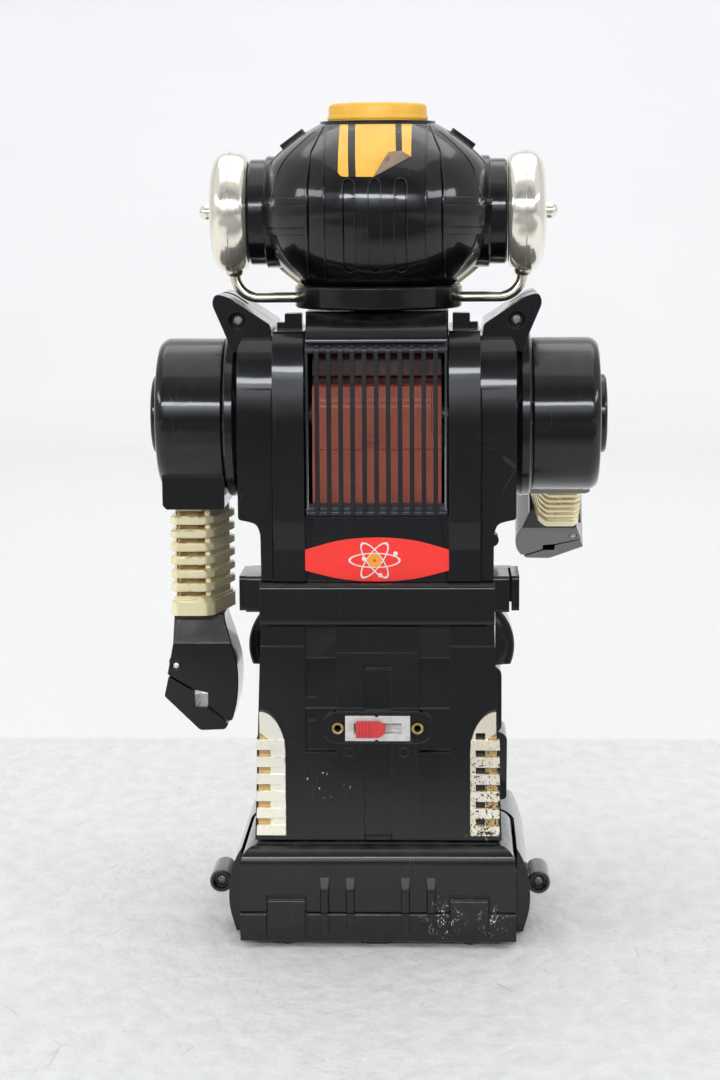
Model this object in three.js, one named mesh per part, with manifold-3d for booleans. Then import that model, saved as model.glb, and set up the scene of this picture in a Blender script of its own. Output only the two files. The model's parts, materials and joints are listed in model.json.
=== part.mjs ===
// Battery-driven walking robot toy, shown standing with its right arm raised forward.
// Millimetres. +Z is up, the floor is z = 0, the robot faces -Y and its left side is on +X.
import * as THREE from "three";
import { mergeVertices } from "three/addons/utils/BufferGeometryUtils.js";
import Module from "manifold-3d";

const wasm = await Module();
wasm.setup();

// ---------------------------------------------------------------- driving dimensions
const WALL = 2.6;
const FIT_GAP = 0.3;
// Depths below are measured from the shoulder axis; this slides the whole robot back
// so that the raised arm and the battery box reach equally far from the origin.
const STANCE_SHIFT = 32.2;

const torso = {
  halfWidth: 52.6,
  waistHalfWidth: 44,
  bottom: 142.2,
  shoulderLedge: 163.5,
  top: 233,
  rearDepth: 36,
  strapInner: 27,
  strapOuter: 39,
  strapDepth: 40.5,
  hoodTop: 241.4,
};
const grille = { halfWidth: 26.7, bottom: 170, top: 230, front: 33.4, rear: 38.4, bars: 11, barWidth: 2 };
const wingScrew = { x: 52.8, z: 238.1, radius: 2.7 };
const shoulder = { z: 200.5, flangeRadius: 32, flangeOuter: 58.5, drumInner: 58.9, drumOuter: 85 };
const arm = {
  drumRadius: 29.6,
  bossRadius: 15.3,
  bossOuter: 88,
  blockHalfDepth: 19,
  blockOuter: 83.2,
  blockBottom: 165.3,
  raise: THREE.MathUtils.degToRad(60),
};
const axle = { radius: 4, hubHole: 4.2, reach: 83.4 };
const forearm = { top: 165, bottom: 123.2, ribs: 7, ribPitch: 5.26, ribThick: 2, firstRib: 160.5, inset: 1.7 };
const hand = { rear: 12, front: -13, pinX: 79.7, pinZ: 102.8, pinRadius: 1.3, pinHole: 1.6, slotHalf: 6 };
const leg = { top: 124, bottom: 40, topHalf: 44.3, bottomHalf: 47.3, rear: 39, front: -36 };
const belt = { halfWidth: 44.4, bottom: 124, top: 141.8, rear: 42 };
const slideSwitch = { z: 84, plateHalf: 12.4, plateHeight: 9.8, rivetSpan: 30.4, knobCentre: 2.6, knobLength: 11.3 };
const shin = { inner: 35.2, outer: 46, bottom: 42.4, top: 90, bars: 7, pitch: 6.6, barHeight: 4, plate: 39.3 };
const box = { halfWidth: 52.9, bottom: 2.4, top: 39.5, front: -10, rear: 48, wall: 2, parting: 14, corner: 5 };
const cell = { radius: 13, length: 49.4, z: 20.5, rows: [5.9, 32.3], nubRadius: 3.2, nubLength: 1.6 };
const door = { hingeY: -9.3, hingeZ: 4.3, plateThick: 2.5, tabInner: 27.8, tabOuter: 41.9, tabTop: 19.6 };
const roller = { y: 42, radius: 3.2, halfWidth: 4.5, stub: 1.2, stubHole: 1.4 };
const shoe = { inner: 1.5, nose: -70, heel: 30, skirtInner: 53.3, toeStart: -16.5, wall: 2.6 };
const pod = { x: 62, z: 19.5, radius: 4.5, rear: 26, front: 5, recess: 2.9 };
const gears = { module: 1, axleTeeth: 16, idlerBig: 20, idlerSmall: 10, pinionTeeth: 10, face: 3.2 };
const drive = { y: -48, z: 11, axleRadius: 1.5, bearing: 1.7, wheelRadius: 11, wheelInner: 20, wheelOuter: 28 };
const gearFrame = { inner: 15.5, outer: 17.5, front: -56, rear: -11.4, bottom: 4, top: 30 };
const motor = { radius: 9.5, left: -15, right: 4, shaftRadius: 1, shaftHole: 1.3 };
const head = { bottom: 249.4, wall: 2.5, maskSplit: -3, maskTop: 294, maskProud: 1.4, bandHalf: 19, bandProud: 0.8 };
const collar = { z: 278.6, radius: 20.2, inner: 39, outer: 49.4 };
const ear = { tubeLow: 246, z: 278.8, inner: 49.8, radius: 23.2, outer: 64.5, ball: 3.25, tip: 68.3 };
const crown = { radius: 22.3, floor: 300.5, rimBottom: 310.8, top: 312.8, bore: 19.5, capRadius: 19, capBottom: 305.5, capTop: 320 };
const neck = { radius: 32.4, rim: 31, bottom: 242, top: 250.8, stemRadius: 9.6, stemHole: 10.3, stemBottom: 226 };

// ---------------------------------------------------------------- geometry helpers
function solidFrom(geometry) {
  const plain = geometry.index ? geometry.toNonIndexed() : geometry;
  const bare = new THREE.BufferGeometry().setAttribute("position", plain.getAttribute("position"));
  const merged = mergeVertices(bare, 1e-3);
  const index = merged.index.array;
  const kept = [];
  for (let i = 0; i < index.length; i += 3) {
    const [a, b, c] = [index[i], index[i + 1], index[i + 2]];
    if (a !== b && b !== c && a !== c) kept.push(a, b, c);
  }
  const build = (triangles) =>
    new wasm.Manifold(
      new wasm.Mesh({
        numProp: 3,
        vertProperties: merged.attributes.position.array,
        triVerts: new Uint32Array(triangles),
      }),
    );
  const solid = build(kept);
  if (solid.volume() >= 0) return solid;
  const turned = [];
  for (let i = 0; i < kept.length; i += 3) turned.push(kept[i], kept[i + 2], kept[i + 1]);
  return build(turned);
}

function geometryFrom(solid) {
  const mesh = solid.getMesh();
  const points = new Float32Array(mesh.numVert * 3);
  for (let i = 0; i < mesh.numVert; i++) {
    points.set(mesh.vertProperties.subarray(i * mesh.numProp, i * mesh.numProp + 3), i * 3);
  }
  const geometry = new THREE.BufferGeometry();
  geometry.setAttribute("position", new THREE.BufferAttribute(points, 3));
  geometry.setIndex(new THREE.BufferAttribute(new Uint32Array(mesh.triVerts), 1));
  return geometry;
}

function combine(operation, first, others) {
  const result = others.reduce((solid, other) => solid[operation](solidFrom(other)), solidFrom(first));
  return geometryFrom(result);
}
const join = (first, ...others) => combine("add", first, others);
const cut = (first, ...others) => combine("subtract", first, others);
const common = (first, ...others) => combine("intersect", first, others);

function block(x0, x1, y0, y1, z0, z1) {
  const geometry = new THREE.BoxGeometry(x1 - x0, y1 - y0, z1 - z0);
  return geometry.translate((x0 + x1) / 2, (y0 + y1) / 2, (z0 + z1) / 2);
}

// A round bar along X, Y or Z, from `start` to `end`, centred on the other two coordinates.
function bar(axisName, radius, start, end, [first, second], sides = 32) {
  const geometry = new THREE.CylinderGeometry(radius, radius, end - start, sides);
  const middle = (start + end) / 2;
  if (axisName === "x") return geometry.rotateZ(-Math.PI / 2).translate(middle, first, second);
  if (axisName === "y") return geometry.translate(first, middle, second);
  return geometry.rotateX(Math.PI / 2).translate(first, second, middle);
}

// An outline pushed along the axis square to it: "x" takes (y, z), "y" takes (x, z), "z" takes (x, y).
function prism(axisName, points, start, end) {
  const shape = new THREE.Shape(points.map(([a, b]) => new THREE.Vector2(a, b)));
  const geometry = new THREE.ExtrudeGeometry(shape, { depth: end - start, bevelEnabled: false });
  const matrix = new THREE.Matrix4();
  if (axisName === "x") matrix.set(0, 0, 1, start, 1, 0, 0, 0, 0, 1, 0, 0, 0, 0, 0, 1);
  if (axisName === "y") matrix.set(1, 0, 0, 0, 0, 0, 1, start, 0, 1, 0, 0, 0, 0, 0, 1);
  if (axisName === "z") matrix.set(1, 0, 0, 0, 0, 1, 0, 0, 0, 0, 1, start, 0, 0, 0, 1);
  return geometry.applyMatrix4(matrix);
}

// A turned shape about X: the profile is a list of [x, radius] that starts and ends on the axis.
function turnedX(profile, z, sides = 40, y = 0) {
  const points = profile.map(([x, radius]) => new THREE.Vector2(radius, x));
  return new THREE.LatheGeometry(points, sides).rotateZ(-Math.PI / 2).translate(0, y, z);
}

function turnedZ(profile, x, y, sides = 40) {
  const points = profile.map(([z, radius]) => new THREE.Vector2(radius, z));
  return new THREE.LatheGeometry(points, sides).rotateX(Math.PI / 2).translate(x, y, 0);
}

const mirroredOutline = (half) => [...half, ...half.map(([x, z]) => [-x, z]).reverse()];

function mirrorX(geometry) {
  return geometry.clone().scale(-1, 1, 1);
}

function pair(geometry) {
  return [geometry, mirrorX(geometry)];
}

// ---------------------------------------------------------------- materials and the node list
const finish = {
  black: new THREE.MeshStandardMaterial({ color: 0x0d0e11, roughness: 0.25 }),
  paleGold: new THREE.MeshStandardMaterial({ color: 0xd9ccaa, metalness: 1, roughness: 0.15 }),
  gold: new THREE.MeshStandardMaterial({ color: 0xd8c578, metalness: 1, roughness: 0.25 }),
  orange: new THREE.MeshStandardMaterial({ color: 0xffae2e, roughness: 0.4 }),
  lens: new THREE.MeshStandardMaterial({ color: 0xd8661c, roughness: 0.1 }),
  red: new THREE.MeshStandardMaterial({ color: 0xe6281e, roughness: 0.45 }),
  brown: new THREE.MeshStandardMaterial({ color: 0x8f3d2c, roughness: 0.6 }),
  steel: new THREE.MeshStandardMaterial({ color: 0xb3b2ae, metalness: 1, roughness: 0.4 }),
  brass: new THREE.MeshStandardMaterial({ color: 0xb18b45, metalness: 1, roughness: 0.35 }),
  white: new THREE.MeshStandardMaterial({ color: 0xe4e0d4, roughness: 0.5 }),
  rubber: new THREE.MeshStandardMaterial({ color: 0x17171a, roughness: 0.85 }),
  cellJacket: new THREE.MeshStandardMaterial({ color: 0x31507c, metalness: 0.4, roughness: 0.4 }),
};
const robot = new THREE.Group();
robot.name = "walking_robot";
const rightArm = new THREE.Group();
rightArm.name = "right_arm";
rightArm.position.z = shoulder.z;
rightArm.rotation.x = -arm.raise;
robot.add(rightArm);

function add(name, geometry, material, parent = robot) {
  const placed = solidFrom(geometry);
  const mesh = new THREE.Mesh(geometryFrom(placed), material);
  mesh.name = name;
  if (parent === rightArm) mesh.geometry.translate(0, 0, -shoulder.z);
  parent.add(mesh);
}

function addPair(name, geometry, material) {
  add(name + "_left", geometry, material);
  add(name + "_right", mirrorX(geometry), material);
}

function addArmPair(name, geometry, material) {
  add(name + "_left", geometry, material);
  add(name + "_right", mirrorX(geometry), material, rightArm);
}

// ---------------------------------------------------------------- torso
const PART_LINE = 0.15;

function torsoHalf(sign) {
  const near = (y0, y1) => (sign > 0 ? [y0, y1] : [-y1, -y0]);
  const outline = mirroredOutline([
    [torso.waistHalfWidth, torso.bottom],
    [torso.waistHalfWidth, 156],
    [torso.waistHalfWidth + 1.2, 159.5],
    [torso.waistHalfWidth + 4, 162],
    [torso.halfWidth, torso.shoulderLedge],
    [torso.halfWidth, torso.top - 2],
    [torso.halfWidth - 2, torso.top],
  ]);
  const hollow = mirroredOutline([
    [torso.waistHalfWidth - WALL, torso.bottom + WALL],
    [torso.waistHalfWidth - WALL, 160],
    [torso.halfWidth - WALL, 167],
    [torso.halfWidth - WALL, torso.top - 3.2],
  ]);
  const strapSide = [
    [0, torso.bottom],
    [37.5, torso.bottom],
    [38.5, 158],
    [torso.strapDepth, 172],
    [torso.strapDepth, 218],
    [39.4, 226],
    [36.5, 231.5],
    [31, 234.4],
    [0, 234.4],
  ].map(([y, z]) => [sign * Math.max(y, PART_LINE), z]);
  const strap = prism("x", strapSide, torso.strapInner, torso.strapOuter);
  const hoodSide = [
    [PART_LINE, 229],
    [38.4, 229],
    [38.4, 231],
    [36.5, 235],
    [32, 239],
    [25, torso.hoodTop],
    [PART_LINE, torso.hoodTop],
  ].map(([y, z]) => [sign * y, z]);
  const hood = prism("x", hoodSide, -torso.strapInner - 0.5, torso.strapInner + 0.5);
  const wing = prism(
    "y",
    [
      [39.5, 231],
      [40.3, 236.6],
      [56.5, 247.4],
      [60.6, 247.8],
      [62, 245.2],
      [56, 229],
    ],
    ...near(PART_LINE, 26),
  );
  const flange = bar("x", shoulder.flangeRadius, torso.halfWidth - 0.5, shoulder.flangeOuter, [0, shoulder.z], 32);
  const flangeHalf = common(flange, block(0, 90, ...near(PART_LINE, 60), 100, 300));
  const tubeNotch = block(39, 63, -3.2, 3.2, ear.tubeLow - 2.6, 260);
  let shell = join(
    prism("y", outline, ...near(PART_LINE, torso.rearDepth)),
    ...pair(strap),
    hood,
    ...pair(wing),
    ...pair(flangeHalf),
  );
  shell = cut(
    shell,
    prism("y", hollow, ...near(-1, torso.rearDepth - WALL)),
    block(-25, 25, ...near(-1, 30), 229, torso.hoodTop - 3),
    bar("z", neck.stemHole, 220, 250, [0, 0], 24),
    bar("x", axle.radius + 0.35, -70, 70, [0, shoulder.z], 24),
    ...pair(tubeNotch),
  );
  return shell;
}

function torsoRearShell() {
  const lug = block(29.5, 35, 12, 20, 232, 238.8);
  const screwPocket = bar("y", 3.3, 22, 30, [wingScrew.x, wingScrew.z], 20);
  const window_ = block(
    -grille.halfWidth - FIT_GAP,
    grille.halfWidth + FIT_GAP,
    30,
    60,
    grille.bottom - FIT_GAP,
    grille.top + FIT_GAP,
  );
  return cut(join(torsoHalf(1), ...pair(lug)), window_, ...pair(screwPocket));
}

function torsoFrontShell() {
  const badgeSeat = block(-26, 26, -60, -37.6, 150, 229);
  return cut(torsoHalf(-1), badgeSeat);
}

function rearGrille() {
  const plate = block(-grille.halfWidth, grille.halfWidth, grille.front, grille.rear, grille.bottom, grille.top);
  const slots = grille.bars + 1;
  const pitch = (2 * grille.halfWidth) / slots;
  const openings = [];
  for (let i = 0; i < slots; i++) {
    const centre = -grille.halfWidth + pitch * (i + 0.5);
    const half = (pitch - grille.barWidth) / 2;
    openings.push(block(centre - half, centre + half, 30, 45, grille.bottom + 3, grille.top - 4));
  }
  const railRelief = block(-30, 30, grille.rear - 1.2, 45, grille.bottom + 3, grille.top - 4);
  return cut(plate, ...openings, railRelief);
}

function voiceUnitCase() {
  const side = [
    [14, 168],
    [31.6, 168],
    [31.6, 196.5],
    [30.2, 197.5],
    [30.2, 212],
    [28.6, 213.5],
    [28.6, 218.5],
    [23, 219.5],
    [23, 228.5],
    [14, 228.5],
  ];
  return prism("x", side, -30, 30);
}

// The label on the small of the back: straight top and bottom, ends drawn in.
function beltLabel() {
  const outline = mirroredOutline([
    [14, 142.8],
    [26.6, 145],
    [26.6, 154.6],
    [14, 158.2],
  ]);
  return prism("y", outline, 36.3, 36.8);
}

function chestPlate() {
  const plate = block(-25.4, 25.4, -39.4, -37.9, 152, 228);
  const dial = bar("y", 9, -41.6, -39, [0, 206], 32);
  const windowFrame = block(-20, 20, -40.6, -39, 160, 184);
  const windowOpening = block(-17, 17, -42, -39.8, 163, 181);
  return cut(join(plate, dial, windowFrame), windowOpening);
}

function screw(axisRadius, rear, depth, x, z) {
  const headDisc = bar("y", axisRadius, rear - depth, rear, [x, z], 16);
  const slotA = block(x - axisRadius * 0.65, x + axisRadius * 0.65, rear - 0.8, rear + 1, z - 0.35, z + 0.35);
  const slotB = block(x - 0.35, x + 0.35, rear - 0.8, rear + 1, z - axisRadius * 0.65, z + axisRadius * 0.65);
  return cut(headDisc, slotA, slotB);
}

// ---------------------------------------------------------------- pelvis and legs
function legOutline(inset, floor, ceiling) {
  return mirroredOutline([
    [leg.bottomHalf - inset, floor],
    [leg.topHalf - inset, ceiling],
  ]);
}

function legRearShell() {
  const limb = prism("y", legOutline(0, leg.bottom, leg.top + 2), PART_LINE, leg.rear);
  const band = block(-belt.halfWidth, belt.halfWidth, PART_LINE, belt.rear, belt.bottom, belt.top);
  const hipBlock = block(44, 50, 10, 36, 128, belt.top);
  const bezel = join(
    block(-slideSwitch.rivetSpan / 2, slideSwitch.rivetSpan / 2, 36, leg.rear + 0.8, 77.6, 90.4),
    ...pair(bar("y", 6.4, 36, leg.rear + 0.8, [slideSwitch.rivetSpan / 2, slideSwitch.z], 32)),
  );
  const hollow = prism("y", legOutline(WALL, leg.bottom - 2, leg.top), -1, leg.rear - WALL);
  const beltHollow = block(-41.5, 41.5, -1, belt.rear - WALL, leg.top - 1, belt.top - WALL);
  const strip = block(-5.5, 5.5, leg.rear - 1, 50, 30, 108);
  const pocket = block(15.5, 28.3, leg.rear - 1.2, 50, 74.5, 111);
  const solid = join(cut(join(limb, band), strip, ...pair(pocket)), ...pair(hipBlock), bezel);
  const switchOpening = block(-10, 10, 30, 50, slideSwitch.z - 3.6, slideSwitch.z + 3.6);
  const plateSeat = block(-12.8, 12.8, leg.rear + 0.1, 50, slideSwitch.z - 5.3, slideSwitch.z + 5.3);
  const rivetHole = bar("y", 2.5, 30, 50, [slideSwitch.rivetSpan / 2, slideSwitch.z], 20);
  return cut(solid, hollow, beltHollow, switchOpening, plateSeat, ...pair(rivetHole));
}

function legFrontShell() {
  const limb = prism("y", legOutline(0, leg.bottom, leg.top + 2), leg.front, -PART_LINE);
  const band = block(-belt.halfWidth, belt.halfWidth, -38.5, -PART_LINE, belt.bottom, belt.top);
  const kneeGuard = block(44, 48.6, -33, -12, 72, 98);
  const shinGuard = block(44, 50.4, -34, -10, 44, 72.5);
  const tabPlate = block(51.4, 54.4, -14, 14, 124.8, 138.5);
  const tabArm = block(44, 52, -14, -8, 124.8, 138.5);
  const kneePad = block(8, 36, -39, -35, 74, 100);
  const shinPad = block(8, 38, -39, -35, 44, 71);
  const hollow = prism("y", legOutline(WALL, leg.bottom - 2, leg.top), leg.front + WALL, 1);
  const beltHollow = block(-41.5, 41.5, -36, 1, leg.top - 1, belt.top - WALL);
  const solid = join(
    limb,
    band,
    ...pair(kneeGuard),
    ...pair(shinGuard),
    ...pair(join(tabPlate, tabArm)),
    ...pair(kneePad),
    ...pair(shinPad),
  );
  const legGroove = block(-1.5, 1.5, -60, -34.6, 30, 118);
  return cut(solid, hollow, beltHollow, legGroove);
}

function hipDisc() {
  const drum = bar("y", 20.3, -34, -14, [33, 106], 48);
  const rim = bar("y", 17, -35.5, -12.5, [33, 106], 48);
  return cut(join(drum, rim), block(0, 45.6, -60, 20, 60, 140), block(40, 60, -60, 20, 60, 98.4));
}

// A ribbed corner trim for the back of the lower leg, square below and quarter round on top.
function shinTrim() {
  const points = [
    [shin.outer + 0.6, shin.bottom],
    [shin.outer - 0.8, shin.top],
  ];
  for (let i = 1; i <= 6; i++) {
    const angle = (i / 6) * (Math.PI / 2);
    const across = shin.outer - 0.8 - Math.sin(angle) * (shin.outer - shin.inner - 0.8);
    points.push([across, shin.top - 16 * (1 - Math.cos(angle))]);
  }
  points.push([shin.inner, shin.bottom]);
  const plate = prism("y", points, shin.plate, shin.plate + 1.3);
  const bars = [];
  for (let i = 0; i < shin.bars; i++) {
    const z = shin.bottom + 0.2 + i * shin.pitch;
    const inner = shin.inner + (i === shin.bars - 1 ? 3.5 : 0.2);
    bars.push(block(inner, shin.outer + 0.4, shin.plate + 0.5, shin.plate + 2.6, z, z + shin.barHeight));
  }
  return join(plate, ...bars);
}

// ---------------------------------------------------------------- slide switch
function switchPlate() {
  const half = slideSwitch.plateHeight / 2;
  const plate = block(
    -slideSwitch.plateHalf,
    slideSwitch.plateHalf,
    leg.rear + 0.4,
    leg.rear + 1.3,
    slideSwitch.z - half,
    slideSwitch.z + half,
  );
  const housing = block(-9.6, 9.6, 31, leg.rear + 0.6, slideSwitch.z - 3.2, slideSwitch.z + 3.2);
  const channel = block(-9, 9, 36.5, 50, slideSwitch.z - 2, slideSwitch.z + 2);
  return cut(join(plate, housing), channel);
}

function switchKnob() {
  const left = slideSwitch.knobCentre + slideSwitch.knobLength / 2;
  const right = slideSwitch.knobCentre - slideSwitch.knobLength / 2;
  const stem = block(right + 3, left - 3, 37, leg.rear + 1.8, slideSwitch.z - 1.6, slideSwitch.z + 1.6);
  const cap = prism(
    "y",
    [
      [left, slideSwitch.z - 3.1],
      [left, slideSwitch.z + 3.1],
      [right + 2.4, slideSwitch.z + 3.1],
      [right, slideSwitch.z + 1],
      [right, slideSwitch.z - 1],
      [right + 2.4, slideSwitch.z - 3.1],
    ],
    leg.rear + 1.6,
    leg.rear + 4.2,
  );
  return join(stem, cap);
}

function switchRivet() {
  const x = slideSwitch.rivetSpan / 2;
  const flange = bar("y", 2.2, leg.rear + 1.2, leg.rear + 1.8, [x, slideSwitch.z], 20);
  const shank = bar("y", 1.9, 35.5, leg.rear + 1.3, [x, slideSwitch.z], 20);
  return cut(join(flange, shank), bar("y", 1.3, 30, 50, [x, slideSwitch.z], 16));
}

// ---------------------------------------------------------------- battery box
function roundedTopOutline(halfWidth, floor, ceiling, corner) {
  const half = [[halfWidth, floor]];
  for (let i = 0; i <= 4; i++) {
    const angle = (i / 4) * (Math.PI / 2);
    half.push([halfWidth - corner + corner * Math.cos(angle), ceiling - corner + corner * Math.sin(angle)]);
  }
  return mirroredOutline(half);
}

function batteryCase() {
  const front = prism("y", roundedTopOutline(box.halfWidth, box.bottom, box.top, box.corner), box.front, box.rear - 4);
  const rearEdge = prism(
    "x",
    [
      [box.rear - 5, box.parting + 0.2],
      [box.rear, box.parting + 0.2],
      [box.rear, box.top - 4],
      [box.rear - 1.2, box.top - 1.2],
      [box.rear - 4, box.top],
      [box.rear - 5, box.top],
    ],
    -box.halfWidth,
    box.halfWidth,
  );
  const rearCorners = prism("y", roundedTopOutline(box.halfWidth, 0, box.top, box.corner), box.rear - 6, box.rear + 1);
  const ribs = [10.6, 20].map((x) => block(x - 1.6, x + 1.6, box.rear - 1, box.rear + 1.2, box.parting + 0.2, 27));
  const body = join(front, common(rearEdge, rearCorners), ...ribs.flatMap(pair));
  const hollow = block(-50.9, 50.9, box.front + 2.4, box.rear - 2.2, 0, box.top - 2.5);
  const doorSeat = block(-60, 60, box.rear - 4.4, box.rear + 4, 0, box.parting + 0.2);
  const tabSeat = block(door.tabInner - 0.5, door.tabOuter + 0.5, box.rear - 3, box.rear + 2, 10, door.tabTop + 1);
  const hingeSeat = block(-21, 21, box.front - 1, box.front + 3, 0, door.hingeZ + 2.4);
  return cut(body, hollow, doorSeat, ...pair(tabSeat), hingeSeat);
}

function batteryDoor() {
  const plate = block(-50.5, 50.5, -6.2, box.rear - 1, box.bottom, box.bottom + door.plateThick);
  const upstand = block(-52.6, 52.6, box.rear - 2.2, box.rear, box.bottom, box.parting - 0.2);
  const tab = block(door.tabInner, door.tabOuter, box.rear - 1.7, box.rear + 0.6, 5, door.tabTop);
  const ribs = [10.6, 20].map((x) => block(x - 1.6, x + 1.6, box.rear - 1, box.rear + 1.2, 9.5, box.parting - 0.2));
  const barrel = bar("x", 1.7, -20, 20, [door.hingeY, door.hingeZ], 16);
  const web = block(-20, 20, door.hingeY, -6, door.hingeZ - 1.7, door.hingeZ + 0.6);
  const foot = block(32.6, 37.2, 41, 45, 0.6, box.bottom + 0.5);
  const cheek = block(4.9, 6.4, 39.4, 44.6, 0.9, 7);
  const rollerSlot = block(-4.9, 4.9, 38.2, 45.6, 0, 9);
  const stubHole = bar("x", roller.stubHole, -6, 6, [roller.y, roller.radius], 16);
  const solid = join(plate, upstand, ...pair(tab), ...ribs.flatMap(pair), barrel, web, ...pair(foot), ...pair(cheek));
  return cut(solid, rollerSlot, stubHole);
}

function batteryCell(side, y) {
  const inner = side > 0 ? 0.5 : -0.2 - cell.length;
  const can = bar("x", cell.radius, inner, inner + cell.length - cell.nubLength, [y, cell.z], 22);
  const nubEnd = inner + cell.length;
  const nub = bar("x", cell.nubRadius, nubEnd - cell.nubLength - 0.5, nubEnd, [y, cell.z], 10);
  return join(can, nub);
}

function batteryContact() {
  const strip = block(50.2, 50.6, cell.rows[0] - 5, cell.rows[1] + 5, cell.z - 4, cell.z + 4);
  return strip;
}

function rearRoller() {
  const tyre = bar("x", roller.radius, -roller.halfWidth, roller.halfWidth, [roller.y, roller.radius], 24);
  return join(tyre, bar("x", roller.stub, -5.8, 5.8, [roller.y, roller.radius], 14));
}

// ---------------------------------------------------------------- drive train
// A spur gear with straight-sided teeth and generous backlash, turned by `phase` about its axis.
function spurGear(teeth, phase) {
  const pitch = (teeth * gears.module) / 2;
  const tip = pitch + 0.8 * gears.module;
  const root = pitch - 1.1 * gears.module;
  const step = (2 * Math.PI) / teeth;
  const points = [];
  for (let i = 0; i < teeth; i++) {
    const middle = phase + i * step;
    const corners = [
      [root, -0.3],
      [tip, -0.11],
      [tip, 0.11],
      [root, 0.3],
    ];
    for (const [radius, share] of corners) {
      const angle = middle + share * step;
      points.push([radius * Math.cos(angle), radius * Math.sin(angle)]);
    }
  }
  return points;
}

function gearAt([y, z], teeth, phase, x0, x1) {
  const points = spurGear(teeth, phase).map(([a, b]) => [a + y, b + z]);
  return prism("x", points, x0, x1);
}

const meshDistance = (teethA, teethB) => ((teethA + teethB) * gears.module) / 2;
const polar = ([y, z], distance, angle) => [y + distance * Math.cos(angle), z + distance * Math.sin(angle)];
const idlerAngle = Math.PI / 4;
const pinionAngle = THREE.MathUtils.degToRad(15);
const axleCentre = [drive.y, drive.z];
const idlerCentre = polar(axleCentre, meshDistance(gears.axleTeeth, gears.idlerSmall), idlerAngle);
const pinionCentre = polar(idlerCentre, meshDistance(gears.idlerBig, gears.pinionTeeth), pinionAngle);

function driveAxle() {
  return bar("x", drive.axleRadius, -29, 29, axleCentre, 16);
}

function axleGear() {
  const gear = gearAt(axleCentre, gears.axleTeeth, idlerAngle, 5, 5 + gears.face);
  return cut(gear, bar("x", drive.axleRadius + FIT_GAP, 0, 20, axleCentre, 16));
}

function idlerGear() {
  const half = (teeth) => Math.PI / teeth;
  const small = gearAt(idlerCentre, gears.idlerSmall, idlerAngle + Math.PI + half(gears.idlerSmall), 5, 9.6);
  const big = gearAt(idlerCentre, gears.idlerBig, pinionAngle, 9.4, 9.4 + gears.face);
  const spindle = bar("x", drive.axleRadius, -17, 17, idlerCentre, 16);
  return join(big, small, spindle);
}

function motorPinion() {
  const phase = pinionAngle + Math.PI + Math.PI / gears.pinionTeeth;
  const gear = gearAt(pinionCentre, gears.pinionTeeth, phase, 9.4, 9.4 + gears.face);
  return join(gear, bar("x", motor.shaftRadius, -10, 14, pinionCentre, 12));
}

function motorCan() {
  const can = bar("x", motor.radius, motor.left, motor.right, pinionCentre, 28);
  const flats = [1, -1].map((side) => {
    const z = pinionCentre[1] + side * 7.6;
    return block(-20, 10, pinionCentre[0] - 12, pinionCentre[0] + 12, Math.min(z, z + side * 5), Math.max(z, z + side * 5));
  });
  return cut(can, ...flats, bar("x", motor.shaftHole, -12, 20, pinionCentre, 12));
}

function gearboxFrame() {
  const plate = block(gearFrame.inner, gearFrame.outer, gearFrame.front, gearFrame.rear, gearFrame.bottom, gearFrame.top);
  const back = block(-gearFrame.outer, gearFrame.outer, -13.4, gearFrame.rear, gearFrame.bottom + 4, gearFrame.top);
  const holes = [axleCentre, idlerCentre].map((centre) => bar("x", drive.bearing, -20, 20, centre, 16));
  return cut(join(...pair(plate), back), ...holes);
}

function wheel() {
  const disc = turnedX(
    [
      [drive.wheelInner, 0],
      [drive.wheelInner, 9.5],
      [drive.wheelInner + 0.6, drive.wheelRadius],
      [drive.wheelOuter - 0.6, drive.wheelRadius],
      [drive.wheelOuter, 9.5],
      [drive.wheelOuter, 0],
    ],
    drive.z,
    28,
    drive.y,
  );
  return cut(disc, bar("x", drive.axleRadius + FIT_GAP, 15, 35, axleCentre, 16));
}

// ---------------------------------------------------------------- shoes
// A hollow slipper open below and on its inner side, with a skirt beside the battery box.
function shoeShell() {
  const section = (inset) => [
    [shoe.inner - inset * 2, 1.2 - inset * 2],
    [55.8 - inset, 1.2 - inset * 2],
    [57.7 - inset, 8],
    [58.6 - inset, 15],
    [58.2 - inset, 22],
    [56.6 - inset, 29],
    [53.6 - inset, 34.6 - inset * 0.5],
    [49 - inset * 0.4, 38.6 - inset],
    [shoe.inner - inset * 2, 38.6 - inset],
  ];
  const plan = (inset) => [
    [-inset, shoe.nose + 0.2 + inset],
    [38, shoe.nose + 0.2 + inset],
    [46 - inset * 0.4, shoe.nose + 2 + inset],
    [53 - inset * 0.7, shoe.nose + 8 + inset * 0.7],
    [57.5 - inset, shoe.nose + 18],
    [60 - inset, shoe.nose + 34],
    [60 - inset, shoe.heel - inset],
    [-inset, shoe.heel - inset],
  ];
  const side = (inset) => [
    [shoe.nose + inset, -inset],
    [shoe.nose + inset, 20],
    [shoe.nose + 3 + inset, 28 - inset * 0.5],
    [shoe.nose + 9 + inset * 0.5, 34 - inset],
    [shoe.nose + 18, 38 - inset],
    [shoe.heel - inset, 40 - inset],
    [shoe.heel - inset, -inset],
  ];
  const shape = (inset) =>
    common(
      prism("y", section(inset), shoe.nose, shoe.heel),
      prism("z", plan(inset), -6, 50),
      prism("x", side(inset), -10, 70),
    );
  const boxClearance = block(-5, shoe.skirtInner, shoe.toeStart, shoe.heel + 5, -5, 60);
  const tube = bar("y", pod.radius, pod.front, pod.rear, [pod.x, pod.z], 24);
  const podRecess = bar("y", pod.recess, pod.rear - 3.4, pod.rear + 2, [pod.x, pod.z], 18);
  const shell = cut(shape(0), shape(shoe.wall), boxClearance);
  return cut(join(shell, cut(tube, block(40, 58, -60, 40, 0, 40))), podRecess);
}

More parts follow.
